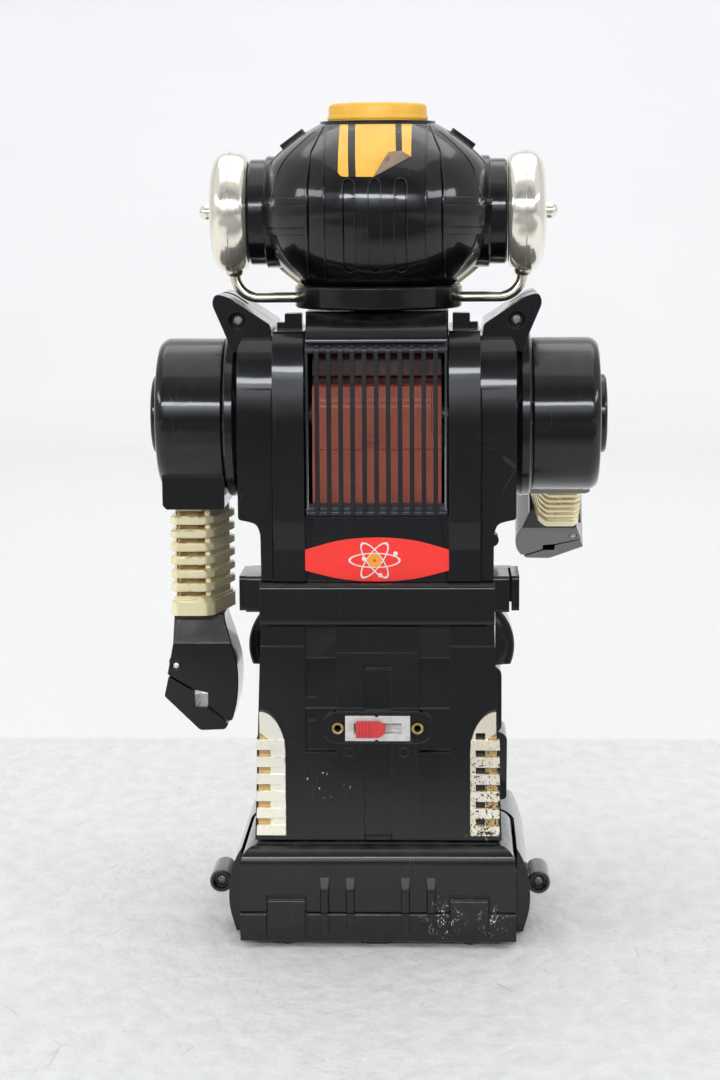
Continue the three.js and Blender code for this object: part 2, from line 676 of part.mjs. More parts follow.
// ---------------------------------------------------------------- head
// The head is an onion turned about Z: [height, radius] from the neck up to the crown ring.
const onionProfile = [
  [head.bottom, 27.5],
  [252, 30.5],
  [256, 35.5],
  [261, 40.4],
  [267, 44.2],
  [274, 46.6],
  [281, 47.2],
  [288, 46.2],
  [294, 43.9],
  [299, 40.5],
  [304, 34.8],
  [308.5, 28.6],
  [crown.rimBottom + 1, 22.8],
];

// The onion grown outwards (or, with a negative value, inwards) by `extra`.
function onion(extra, sides = 30) {
  const side = onionProfile.map(([z, radius]) => [z + (z > 300 ? extra * 0.6 : 0), radius + extra]);
  const [first, last] = [side[0], side[side.length - 1]];
  return turnedZ([[first[0], 0], ...side, [last[0], 0]], 0, 0, sides);
}

const zone = (y0, y1, z0, z1) => block(-60, 60, y0, y1, z0, z1);

function headRearShell() {
  const ringX = bar("x", collar.radius, collar.inner, collar.outer, [0, collar.z], 28);
  const crownRing = bar("z", crown.radius, crown.rimBottom, crown.top, [0, 0], 30);
  const backBand = common(onion(head.bandProud), block(-head.bandHalf, head.bandHalf, 5, 60, head.bottom, crown.top));
  const sideBand = common(
    cut(onion(head.bandProud), block(-25, 25, -60, 60, 200, 340)),
    zone(head.maskSplit, 60, 270.5, 284.2),
  );
  const slopeBlock = block(-5.2, 5.2, -4, 4, -1.5, 1.5).rotateY(THREE.MathUtils.degToRad(36)).translate(32.6, 0, 306.8);
  const solid = join(onion(0), ...pair(ringX), crownRing, backBand, sideBand, ...pair(slopeBlock));
  const cup = bar("z", crown.bore + 2, crown.floor, crown.top, [0, 0], 28);
  const hollow = cut(common(onion(-head.wall), zone(-60, 60, 200, 309.6)), cup);
  const maskSpace = zone(-60, head.maskSplit, 200, head.maskTop);
  const slot = (x) =>
    join(
      block(x - 1.9, x + 1.9, 35, 60, 258.5, 289),
      bar("y", 1.9, 35, 60, [x, 258.5], 8),
      bar("y", 1.9, 35, 60, [x, 289], 8),
    );
  const slots = [-9.5, 0, 9.5].map((x) => cut(slot(x), onion(-0.6)));
  return cut(
    solid,
    hollow,
    bar("z", 27.2, 240, head.bottom + 3, [0, 0], 30),
    maskSpace,
    bar("z", crown.bore, crown.floor + 2, 330, [0, 0], 28),
    bar("z", 13, 290, 330, [0, 0], 20),
    ...slots,
  );
}

function faceMask() {
  const zoneOfFace = zone(-60, head.maskSplit - 0.4, head.bottom, head.maskTop - 0.4);
  const outer = common(onion(head.maskProud), zoneOfFace);
  const collarSpace = bar("x", collar.radius + 0.5, collar.inner - 1, 60, [0, collar.z], 28);
  const brow = common(onion(head.maskProud + 1.6), block(-32, 32, -60, -15, 288.5, 292));
  const mouth = block(-13, 13, -48, -40, 259, 265.5);
  const mouthSlots = [-9, -3, 3, 9].map((x) => block(x - 1.8, x + 1.8, -60, -46.8, 260.2, 264.3));
  const eyeWindow = block(-29, 29, -60, -12, 272, 287.5);
  return cut(join(outer, brow, cut(mouth, ...mouthSlots)), onion(-1.2), eyeWindow, ...pair(collarSpace));
}

function visorLens() {
  return cut(common(onion(-1.5), block(-31, 31, -60, -12, 270.5, 289)), onion(-3.2));
}

function topCap() {
  const outer = turnedZ(
    [
      [crown.capBottom, 0],
      [crown.capBottom, crown.capRadius],
      [crown.capTop - 1.2, crown.capRadius],
      [crown.capTop - 0.3, crown.capRadius - 0.6],
      [crown.capTop, crown.capRadius - 1.8],
      [crown.capTop, 0],
    ],
    0,
    0,
    28,
  );
  return cut(outer, bar("z", 16.4, 300, crown.capTop - 2.4, [0, 0], 20));
}

function earDisc() {
  const disc = turnedX(
    [
      [ear.inner, 0],
      [ear.inner, 21.6],
      [ear.inner + 1.2, ear.radius],
      [ear.inner + 7, ear.radius],
      [59.6, 22],
      [62.2, 19.6],
      [63.8, 16],
      [ear.outer, 10],
      [ear.outer, 0],
    ],
    ear.z,
    28,
  );
  const ball = new THREE.SphereGeometry(ear.ball, 12, 8).translate(ear.tip - ear.ball, 0, ear.z);
  return join(disc, ball);
}

// A bent tube from under the ear disc to the side of the neck ring.
function earTube() {
  const path = new THREE.CurvePath();
  const [x0, zTop, zLow, bend] = [57, ear.z - ear.radius - 0.4, ear.tubeLow, 5.4];
  path.add(new THREE.LineCurve3(new THREE.Vector3(x0, 0, zTop), new THREE.Vector3(x0, 0, zLow + bend)));
  path.add(
    new THREE.QuadraticBezierCurve3(
      new THREE.Vector3(x0, 0, zLow + bend),
      new THREE.Vector3(x0, 0, zLow),
      new THREE.Vector3(x0 - bend, 0, zLow),
    ),
  );
  path.add(
    new THREE.LineCurve3(new THREE.Vector3(x0 - bend, 0, zLow), new THREE.Vector3(neck.radius + 0.4, 0, zLow)),
  );
  const round = new THREE.Shape().absarc(0, 0, 2, 0, Math.PI * 2, false);
  return new THREE.ExtrudeGeometry(round, { steps: 12, extrudePath: path, curveSegments: 5 });
}

function neckRing() {
  const outer = bar("z", neck.radius, neck.bottom, neck.top, [0, 0], 32);
  const stem = bar("z", neck.stemRadius, neck.stemBottom, neck.bottom + 1, [0, 0], 20);
  const keeper = bar("z", 13, neck.stemBottom, neck.stemBottom + 2, [0, 0], 20);
  const dish = bar("z", neck.rim, neck.bottom + 4.5, neck.top + 1, [0, 0], 32);
  const bore = bar("z", 6, neck.stemBottom - 1, neck.top + 1, [0, 0], 14);
  return cut(join(outer, stem, keeper), dish, bore);
}

// The striped sticker on the back of the head, laid on the shell.
function headSticker() {
  const outer = common(onion(head.bandProud + 0.45), block(-13, 13, 10, 60, 291.6, 309));
  return cut(outer, onion(head.bandProud + 0.15));
}

// ---------------------------------------------------------------- arms (left arm hanging)
function armShell() {
  const drum = turnedX(
    [
      [shoulder.drumInner, 0],
      [shoulder.drumInner, arm.drumRadius],
      [shoulder.drumOuter - 3.2, arm.drumRadius],
      [shoulder.drumOuter - 0.9, arm.drumRadius - 1.2],
      [shoulder.drumOuter, arm.drumRadius - 3.6],
      [shoulder.drumOuter, 0],
    ],
    shoulder.z,
    32,
  );
  const boss = turnedX(
    [
      [shoulder.drumOuter - 1, 0],
      [shoulder.drumOuter - 1, arm.bossRadius],
      [arm.bossOuter - 0.8, arm.bossRadius],
      [arm.bossOuter, arm.bossRadius - 0.9],
      [arm.bossOuter, 0],
    ],
    shoulder.z,
    24,
  );
  const half = arm.blockHalfDepth;
  const sleeve = prism(
    "y",
    [
      [shoulder.drumInner, arm.blockBottom],
      [arm.blockOuter - 1.5, arm.blockBottom],
      [arm.blockOuter, arm.blockBottom + 1.5],
      [arm.blockOuter, shoulder.z],
      [shoulder.drumInner, shoulder.z],
    ],
    -half,
    half,
  );
  const hub = bar("x", 7.5, shoulder.drumInner + 1, 83, [0, shoulder.z], 20);
  const drumHollow = bar("x", arm.drumRadius - WALL, 50, 82.4, [0, shoulder.z], 24);
  const sleeveHollow = block(61.5, 80.6, -half + WALL, half - WALL, arm.blockBottom + WALL, shoulder.z);
  const axleHole = bar("x", axle.hubHole, 50, 83.8, [0, shoulder.z], 20);
  return cut(join(cut(join(drum, boss, sleeve), drumHollow, sleeveHollow), hub), axleHole);
}

// Plan outline of the forearm: flat outside and back, inner side splayed towards the front.
function forearmPlan(inset) {
  return [
    [80.9 - inset, -14],
    [80.9 - inset, 14],
    [79 - inset, 16 - inset],
    [67 + inset, 16 - inset],
    [64 + inset, 13 - inset],
    [58 + inset, -12 + inset],
    [59 + inset, -16 + inset],
    [79 - inset, -16 + inset],
  ];
}

function forearmSleeve() {
  const core = prism("z", forearmPlan(forearm.inset), forearm.bottom, forearm.top);
  const ribs = [];
  for (let i = 0; i < forearm.ribs - 1; i++) {
    const z = forearm.firstRib - i * forearm.ribPitch;
    ribs.push(prism("z", forearmPlan(0), z - forearm.ribThick / 2, z + forearm.ribThick / 2));
  }
  ribs.push(prism("z", forearmPlan(0), forearm.bottom, forearm.bottom + 5.6));
  return join(core, ...ribs);
}

const palmEdge = [
  [83.3, 99.2],
  [72.3, 92.9],
  [67.5, 91.8],
  [67.5, 87],
  [59.7, 80.5],
];

function handPalm() {
  const outline = [
    [80.5, 122.8],
    [80.9, 111.5],
    ...palmEdge,
    [58, 80.9],
    [56.2, 87],
    [55.4, 94.3],
    [55.5, 102.6],
    [58, 111.9],
    [60.6, 120.4],
    [60.8, 122.8],
  ];
  const plate = prism("y", outline, hand.front, hand.rear);
  const wristSlope = prism(
    "x",
    [
      [hand.rear + 1, 111.5],
      [hand.rear, 111.5],
      [hand.rear - 4, 124],
      [hand.rear + 1, 124],
    ],
    50,
    90,
  );
  const tongueSlot = block(73.5, 90, -hand.slotHalf, hand.slotHalf, 90, 107.6);
  const pinHole = bar("y", hand.pinHole, -20, 20, [hand.pinX, hand.pinZ], 16);
  return cut(plate, wristSlope, tongueSlot, pinHole);
}

function handJaw() {
  const outline = [
    [82.9, 98.3],
    [84.6, 90.5],
    [70.7, 76.9],
    [60.8, 77.3],
    [59.6, 79.3],
    [67.9, 86.2],
    [72.4, 86.4],
    [72.6, 92.1],
  ];
  const blade = prism("y", outline, hand.front, hand.rear);
  const reach = hand.slotHalf - 0.5;
  const tongue = join(
    bar("y", 3.6, -reach, reach, [hand.pinX, hand.pinZ], 20),
    block(hand.pinX - 3.6, hand.pinX + 2.6, -reach, reach, 93.5, hand.pinZ),
  );
  return cut(join(blade, tongue), bar("y", hand.pinHole, -20, 20, [hand.pinX, hand.pinZ], 16));
}

function jawPin() {
  return bar("y", hand.pinRadius, hand.front + 0.4, hand.rear + 0.5, [hand.pinX, hand.pinZ], 14);
}

// ---------------------------------------------------------------- the assembly
add("torso_rear_shell", torsoRearShell(), finish.black);
add("torso_front_shell", torsoFrontShell(), finish.black);
add("rear_grille", rearGrille(), finish.black);
add("voice_unit_case", voiceUnitCase(), finish.brown);
add("belt_label", beltLabel(), finish.red);
add("chest_plate", chestPlate(), finish.gold);
add("shoulder_axle", bar("x", axle.radius, -axle.reach, axle.reach, [0, shoulder.z], 20), finish.steel);
addPair("wing_screw", screw(wingScrew.radius, 24.5, 2.2, wingScrew.x, wingScrew.z), finish.steel);

add("leg_rear_shell", legRearShell(), finish.black);
add("leg_front_shell", legFrontShell(), finish.black);
addPair("hip_disc", hipDisc(), finish.black);
addPair("shin_trim", shinTrim(), finish.gold);
add("switch_plate", switchPlate(), finish.steel);
add("switch_knob", switchKnob(), finish.red);
addPair("switch_rivet", switchRivet(), finish.brass);

add("battery_case", batteryCase(), finish.black);
add("battery_door", batteryDoor(), finish.black);
add("cell_front_left", batteryCell(1, cell.rows[0]), finish.cellJacket);
add("cell_front_right", batteryCell(-1, cell.rows[0]), finish.cellJacket);
add("cell_rear_left", batteryCell(1, cell.rows[1]), finish.cellJacket);
add("cell_rear_right", batteryCell(-1, cell.rows[1]), finish.cellJacket);
addPair("battery_contact", batteryContact(), finish.steel);
add("rear_roller", rearRoller(), finish.rubber);

add("gearbox_frame", gearboxFrame(), finish.white);
add("motor", motorCan(), finish.steel);
add("motor_pinion", motorPinion(), finish.brass);
add("idler_gear", idlerGear(), finish.white);
add("axle_gear", axleGear(), finish.white);
add("drive_axle", driveAxle(), finish.steel);
addPair("drive_wheel", wheel(), finish.rubber);
addPair("shoe", shoeShell(), finish.black);
addPair("pod_screw", screw(2.5, pod.rear - 1.4, 1.8, pod.x, pod.z), finish.steel);

add("head_rear_shell", headRearShell(), finish.black);
add("face_mask", faceMask(), finish.gold);
add("visor_lens", visorLens(), finish.lens);
add("top_cap", topCap(), finish.orange);
add("neck_ring", neckRing(), finish.black);
add("head_sticker", headSticker(), finish.orange);
addPair("ear_disc", earDisc(), finish.paleGold);
addPair("ear_tube", earTube(), finish.paleGold);

addArmPair("arm_shell", armShell(), finish.black);
addArmPair("forearm", forearmSleeve(), finish.gold);
addArmPair("hand_palm", handPalm(), finish.black);
addArmPair("hand_jaw", handJaw(), finish.black);
addArmPair("jaw_pin", jawPin(), finish.steel);

robot.position.y = STANCE_SHIFT;

export default robot;
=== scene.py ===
"""The looks of a battery-driven walking robot toy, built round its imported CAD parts.

Sizes are in millimetres. Depths are measured from the shoulder axis, backwards being positive;
world() turns them into the row frame's metres. The robot faces -Y and its left side is on +X.
"""

import json
import math
import random

import bmesh
import bpy
from mathutils import Matrix, Vector

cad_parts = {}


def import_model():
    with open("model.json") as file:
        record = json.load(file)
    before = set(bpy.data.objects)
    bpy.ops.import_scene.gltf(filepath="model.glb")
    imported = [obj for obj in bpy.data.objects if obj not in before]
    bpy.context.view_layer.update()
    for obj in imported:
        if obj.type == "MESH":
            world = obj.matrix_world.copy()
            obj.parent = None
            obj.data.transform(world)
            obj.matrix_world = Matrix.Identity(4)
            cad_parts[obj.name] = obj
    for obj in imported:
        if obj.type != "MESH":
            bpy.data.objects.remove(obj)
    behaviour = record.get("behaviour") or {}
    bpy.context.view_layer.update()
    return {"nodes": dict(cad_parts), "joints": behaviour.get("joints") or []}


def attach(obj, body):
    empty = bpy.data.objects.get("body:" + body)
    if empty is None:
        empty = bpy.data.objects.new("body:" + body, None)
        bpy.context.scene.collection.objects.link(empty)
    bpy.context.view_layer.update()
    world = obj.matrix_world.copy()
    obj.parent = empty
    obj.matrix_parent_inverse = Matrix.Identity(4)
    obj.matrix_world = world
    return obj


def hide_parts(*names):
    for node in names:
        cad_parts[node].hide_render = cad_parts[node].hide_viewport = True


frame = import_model()
random.seed(1984)

# ---------------------------------------------------------------- driving dimensions
MM = 0.001
JOINTS = {joint["name"]: joint for joint in frame["joints"]}
SHOULDER = Vector(JOINTS["shoulder_left"]["pos_m"])
STANCE_SHIFT = SHOULDER.y / MM
SHOULDER_Z = SHOULDER.z / MM
CLAW_AXIS = JOINTS["claw_right"]["axis"]
ARM_RAISE = math.atan2(-CLAW_AXIS[2], CLAW_AXIS[1])
ROUND_SIDES = 96
SMALL_SIDES = 32
SHARP_ANGLE = math.radians(32)

# ---------------------------------------------------------------- solid shapes
def new_solid(points, faces):
    """A closed mesh whose faces all look outwards."""
    work = bmesh.new()
    corners = [work.verts.new(point) for point in points]
    for face in faces:
        work.faces.new([corners[i] for i in face])
    bmesh.ops.recalc_face_normals(work, faces=work.faces)
    mesh = bpy.data.meshes.new("solid")
    work.to_mesh(mesh)
    work.free()
    return mesh


def place(axis, along, first, second):
    """A point given by its distance along an axis and its two other coordinates, in x, y, z order."""
    if axis == "x":
        return (along, first, second)
    if axis == "y":
        return (first, along, second)
    return (first, second, along)


def prism(axis, outline, start, end):
    """An outline pushed along an axis: "x" takes (y, z) points, "y" takes (x, z), "z" takes (x, y)."""
    count = len(outline)
    points = [place(axis, start, a, b) for a, b in outline]
    points += [place(axis, end, a, b) for a, b in outline]
    faces = [tuple(range(count)), tuple(range(2 * count - 1, count - 1, -1))]
    for i in range(count):
        after = (i + 1) % count
        faces.append((i, after, count + after, count + i))
    return new_solid(points, faces)


def block(x0, x1, y0, y1, z0, z1):
    return prism("z", [(x0, y0), (x1, y0), (x1, y1), (x0, y1)], z0, z1)


def turned(axis, profile, centre=(0, 0), sides=ROUND_SIDES):
    """A profile of (along, radius) points turned about an axis; it starts and ends on the axis."""
    points = []
    rings = []
    for along, radius in profile:
        first = len(points)
        if radius == 0:
            points.append(place(axis, along, *centre))
            rings.append([first] * sides)
            continue
        for i in range(sides):
            angle = 2 * math.pi * i / sides
            a = centre[0] + radius * math.cos(angle)
            b = centre[1] + radius * math.sin(angle)
            points.append(place(axis, along, a, b))
        rings.append(list(range(first, first + sides)))
    faces = []
    for low, high in zip(rings, rings[1:]):
        for i in range(sides):
            after = (i + 1) % sides
            corners = [low[i], low[after], high[after], high[i]]
            faces.append(tuple(dict.fromkeys(corners)))
    return new_solid(points, [face for face in faces if len(face) > 2])


def bar(axis, radius, start, end, centre, sides=SMALL_SIDES):
    return turned(axis, [(start, 0), (start, radius), (end, radius), (end, 0)], centre, sides)


def ball(radius, centre, sides):
    steps = sides // 2
    profile = []
    for i in range(steps + 1):
        angle = math.pi * i / steps
        height = 0 if i in (0, steps) else radius * math.sin(angle)
        profile.append((centre[0] - radius * math.cos(angle), height))
    return turned("x", profile, centre[1:], sides)


def tube(path, radius, sides):
    """A round rod along a list of points that lie in one plane of constant y."""
    points = []
    for i, here in enumerate(path):
        before = Vector(path[max(i - 1, 0)])
        after = Vector(path[min(i + 1, len(path) - 1)])
        run = (after - before).normalized()
        side = Vector((0, 1, 0))
        up = run.cross(side)
        for k in range(sides):
            angle = 2 * math.pi * k / sides
            points.append(Vector(here) + radius * (math.cos(angle) * side + math.sin(angle) * up))
    faces = [tuple(range(sides)), tuple(range(len(points) - sides, len(points)))]
    for i in range(len(path) - 1):
        for k in range(sides):
            after = (k + 1) % sides
            low, high = i * sides, (i + 1) * sides
            faces.append((low + k, low + after, high + after, high + k))
    return new_solid(points, faces)


def eased(outline, radius, steps=4, closed=True):
    """An outline with its corners eased by short curves. A corner given as (a, b, r) has its own radius."""
    result = []
    count = len(outline)
    for i, corner in enumerate(outline):
        here = Vector(corner[:2])
        if not closed and i in (0, count - 1):
            result.append(tuple(here))
            continue
        reach = corner[2] if len(corner) > 2 else radius
        before = Vector(outline[i - 1][:2]) - here
        after = Vector(outline[(i + 1) % count][:2]) - here
        reach = min(reach, before.length * 0.48, after.length * 0.48)
        if reach < 0.02:
            result.append(tuple(here))
            continue
        start = here + before.normalized() * reach
        end = here + after.normalized() * reach
        for k in range(steps + 1):
            t = k / steps
            point = start * (1 - t) ** 2 + here * 2 * t * (1 - t) + end * t ** 2
            result.append(tuple(point))
    return result


def rounded(low, high, bottom, top, radius):
    """A rectangle with eased corners, between two values one way and two values the other way."""
    return eased([(low, bottom), (high, bottom), (high, top), (low, top)], radius)


def flowing(profile, steps):
    """A smooth curve through every point of a profile."""
    result = []
    for i in range(len(profile) - 1):
        p0 = Vector(profile[max(i - 1, 0)])
        p1 = Vector(profile[i])
        p2 = Vector(profile[i + 1])
        p3 = Vector(profile[min(i + 2, len(profile) - 1)])
        for k in range(steps):
            t = k / steps
            bend = (2 * p0 - 5 * p1 + 4 * p2 - p3) * t * t + (3 * p1 - p0 - 3 * p2 + p3) * t ** 3
            result.append(tuple(0.5 * (2 * p1 + (p2 - p0) * t + bend)))
    result.append(tuple(profile[-1]))
    return result


def both_sides(half):
    """The outline of (x, z) points closed by its mirror image about x = 0."""
    return list(half) + [(-corner[0],) + tuple(corner[1:]) for corner in reversed(half)]


def arc(centre, radius, start, end, steps):
    """Points on a circle from one angle to another, both in degrees."""
    points = []
    for i in range(steps + 1):
        angle = math.radians(start + (end - start) * i / steps)
        points.append((centre[0] + radius * math.cos(angle), centre[1] + radius * math.sin(angle)))
    return points


def moved(mesh, matrix):
    copy = mesh.copy()
    copy.transform(matrix)
    if matrix.determinant() < 0:
        copy.flip_normals()
    return copy


def mirrored(mesh):
    return moved(mesh, Matrix.Scale(-1, 4, (1, 0, 0)))


def pair(mesh):
    return [mesh, mirrored(mesh)]


def pairs(meshes):
    return [side for mesh in meshes for side in pair(mesh)]


def turned_by(mesh, degrees, axis, pivot):
    """The mesh turned about an axis through a point."""
    there = Matrix.Translation(Vector(pivot))
    return moved(mesh, there @ Matrix.Rotation(math.radians(degrees), 4, axis) @ there.inverted())


def combine(operation, first, others):
    base = bpy.data.objects.new("base", first.copy())
    tools = [bpy.data.objects.new("tool", other) for other in others]
    for item in [base] + tools:
        bpy.context.scene.collection.objects.link(item)
    for tool in tools:
        step = base.modifiers.new("step", "BOOLEAN")
        step.solver = "MANIFOLD"
        step.operation = operation
        step.object = tool
    bpy.context.view_layer.update()
    result = bpy.data.meshes.new_from_object(base.evaluated_get(bpy.context.evaluated_depsgraph_get()))
    for item in [base] + tools:
        bpy.data.objects.remove(item)
    return result


def join(first, *others):
    return combine("UNION", first, others)


def cut(first, *others):
    return combine("DIFFERENCE", first, others)


def common(first, *others):
    return combine("INTERSECT", first, others)


# ---------------------------------------------------------------- pieces
def world():
    """From millimetres measured from the shoulder axis to the row frame's metres."""
    return Matrix.Scale(MM, 4) @ Matrix.Translation((0, STANCE_SHIFT, 0))


def raised_arm():
    """Turns the hanging arm's mirror image up and forwards about the shoulder axis."""
    pivot = Matrix.Translation((0, 0, SHOULDER_Z))
    return pivot @ Matrix.Rotation(-ARM_RAISE, 4, "X") @ pivot.inverted()


def piece(name, mesh, body, slot, material, nodes=(), bevel=0.35, clamp=True, placing=None):
    """Makes one visible piece: eased edges, smooth faces, its material and the CAD nodes it stands for."""
    mesh = mesh.copy()
    mesh.transform(world() @ (placing or Matrix.Identity(4)))
    mesh.name = name
    work = bmesh.new()
    work.from_mesh(mesh)
    bmesh.ops.remove_doubles(work, verts=work.verts, dist=0.02 * MM)
    wide = [face for face in work.faces if len(face.verts) > 4]
    bmesh.ops.triangulate(work, faces=wide, ngon_method="BEAUTY")
    work.to_mesh(mesh)
    work.free()
    mesh.materials.clear()
    mesh.materials.append(material)
    mesh.polygons.foreach_set("material_index", [0] * len(mesh.polygons))
    mesh.shade_smooth()
    mesh.set_sharp_from_angle(angle=SHARP_ANGLE)
    obj = bpy.data.objects.new(name, mesh)
    bpy.context.scene.collection.objects.link(obj)
    if bevel:
        edge = obj.modifiers.new("eased_edges", "BEVEL")
        edge.width = bevel * MM
        edge.segments = 2
        edge.limit_method = "ANGLE"
        edge.angle_limit = SHARP_ANGLE
        edge.use_clamp_overlap = clamp
        edge.loop_slide = False
        edge.miter_outer = "MITER_ARC"
        flat = obj.modifiers.new("flat_faces", "WEIGHTED_NORMAL")
        flat.weight = 100
        flat.keep_sharp = True
    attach(obj, body)
    if nodes:
        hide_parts(*nodes)


def piece_pair(name, mesh, body, slot, material, **options):
    """The piece on the robot's left and its mirror image on the right."""
    for side, shape in (("left", mesh), ("right", mirrored(mesh))):
        full = f"{name}_{side}"
        piece(f"{full}_look", shape, body.format(side=side), slot, material, [full], **options)


def arm_piece_pair(name, mesh, body, slot, material, stands_for=True, **options):
    """A piece of the hanging left arm and of the raised right arm."""
    nodes = (name + "_left",) if stands_for else ()
    piece(name + "_left_look", mesh, body + "_left", slot, material, nodes, **options)
    nodes = (name + "_right",) if stands_for else ()
    options["placing"] = raised_arm()
    piece(name + "_right_look", mirrored(mesh), body + "_right", slot, material, nodes, **options)


# ---------------------------------------------------------------- material nodes
def node(tree, kind, inputs=(), **settings):
    made = tree.nodes.new("ShaderNode" + kind)
    for key, value in settings.items():
        setattr(made, key, value)
    for key, value in dict(inputs).items():
        if isinstance(value, bpy.types.NodeSocket):
            tree.links.new(value, made.inputs[key])
        else:
            made.inputs[key].default_value = value
    return made


def math_node(tree, operation, first, second=0.0):
    made = node(tree, "Math", {0: first, 1: second}, operation=operation, use_clamp=True)
    return made.outputs[0]


def plain_math(tree, operation, first, second=0.0):
    made = node(tree, "Math", {0: first, 1: second}, operation=operation)
    return made.outputs[0]


def times(tree, first, second):
    return math_node(tree, "MULTIPLY", first, second)


def either(tree, first, second):
    return math_node(tree, "MAXIMUM", first, second)


def blend(tree, share, first, second):
    """A colour between two colours."""
    made = node(tree, "Mix", data_type="RGBA")
    for socket, value in ((0, share), (6, first), (7, second)):
        if isinstance(value, bpy.types.NodeSocket):
            tree.links.new(value, made.inputs[socket])
        else:
            made.inputs[socket].default_value = value
    return made.outputs[2]


def remap(tree, value, low, high, out_low=0.0, out_high=1.0):
    inputs = {"Value": value, "From Min": low, "From Max": high, "To Min": out_low, "To Max": out_high}
    return node(tree, "MapRange", inputs).outputs[0]


def coordinates(tree, stretch=(1, 1, 1), turn=(0, 0, 0)):
    where = node(tree, "TexCoord").outputs["Object"]
    return node(tree, "Mapping", {"Vector": where, "Scale": stretch, "Rotation": turn}).outputs[0]


def position(tree):
    """The x, y and z of the shaded point in the row frame, in metres."""
    where = node(tree, "TexCoord").outputs["Object"]
    return node(tree, "SeparateXYZ", {0: where}).outputs


def noise(tree, scale, detail, **mapping):
    """Random waves about 0.5; scale is in waves per metre."""
    inputs = {"Vector": coordinates(tree, **mapping), "Scale": scale, "Detail": detail}
    return node(tree, "TexNoise", inputs).outputs["Fac"]


def clouds(tree, scale, low, high, detail=3.0, **mapping):
    """A soft random mask: the part of the noise from low to high, stretched to run from 0 to 1."""
    return remap(tree, noise(tree, scale, detail, **mapping), low, high)


def specks(tree, scale, size):
    """Small random dots."""
    inputs = {"Vector": coordinates(tree), "Scale": scale, "Randomness": 1.0}
    far = node(tree, "TexVoronoi", inputs).outputs["Distance"]
    return remap(tree, far, size, size * 0.6)


def scratches(tree, scale, width, stretch, turn):
    """Thin broken lines that mostly run one way."""
    inputs = {"Vector": coordinates(tree, stretch, turn), "Scale": scale}
    edge = node(tree, "TexVoronoi", inputs, feature="DISTANCE_TO_EDGE").outputs["Distance"]
    lines = remap(tree, edge, width, width * 0.3)
    return times(tree, lines, clouds(tree, 90, 0.56, 0.64, stretch=stretch))


def near(tree, centre, reach, softness):
    """1 close to a point given in millimetres from the shoulder axis, falling to 0 at its reach."""
    where = node(tree, "TexCoord").outputs["Object"]
    point = world() @ Vector(centre)
    gap = node(tree, "VectorMath", {0: where, 1: point}, operation="DISTANCE").outputs["Value"]
    return remap(tree, gap, reach * MM, reach * MM * softness)


def facing_up(tree):
    normal = node(tree, "NewGeometry").outputs["Normal"]
    return remap(tree, node(tree, "SeparateXYZ", {0: normal}).outputs["Z"], 0.35, 0.95)


def new_material(name, color, metallic=0.0, roughness=0.4):
    made = bpy.data.materials.new(name)
    made.use_nodes = True
    made.diffuse_color = (*color, 1)
    shader = made.node_tree.nodes["Principled BSDF"]
    shader.inputs["Base Color"].default_value = (*color, 1)
    shader.inputs["Metallic"].default_value = metallic
    shader.inputs["Roughness"].default_value = roughness
    return made, made.node_tree, shader


def relief(tree, shader, height, depth, edge=0.3):
    """Bumps of that depth in millimetres on top of edges eased by a small radius."""
    eased_edge = node(tree, "Bevel", {"Radius": edge * MM}, samples=4).outputs[0]
    inputs = {"Height": height, "Distance": depth * MM, "Strength": 1.0, "Normal": eased_edge}
    bumped = node(tree, "Bump", inputs).outputs[0]
    tree.links.new(bumped, shader.inputs["Normal"])
    tree.links.new(bumped, shader.inputs["Coat Normal"])


def edge_mask(tree, radius):
    """1 on worn outer edges, 0 on flat faces."""
    eased_edge = node(tree, "Bevel", {"Radius": radius * MM}, samples=4).outputs[0]
    normal = node(tree, "NewGeometry").outputs["Normal"]
    same = node(tree, "VectorMath", {0: eased_edge, 1: normal}, operation="DOT_PRODUCT").outputs["Value"]
    return remap(tree, same, 0.985, 0.90)


# The black plastic reflects twice: sharply off its polished skin, and softly off the body below it.
BODY_ROUGHNESS = 0.30
BODY_IOR = 1.20
SKIN_IOR = 1.45


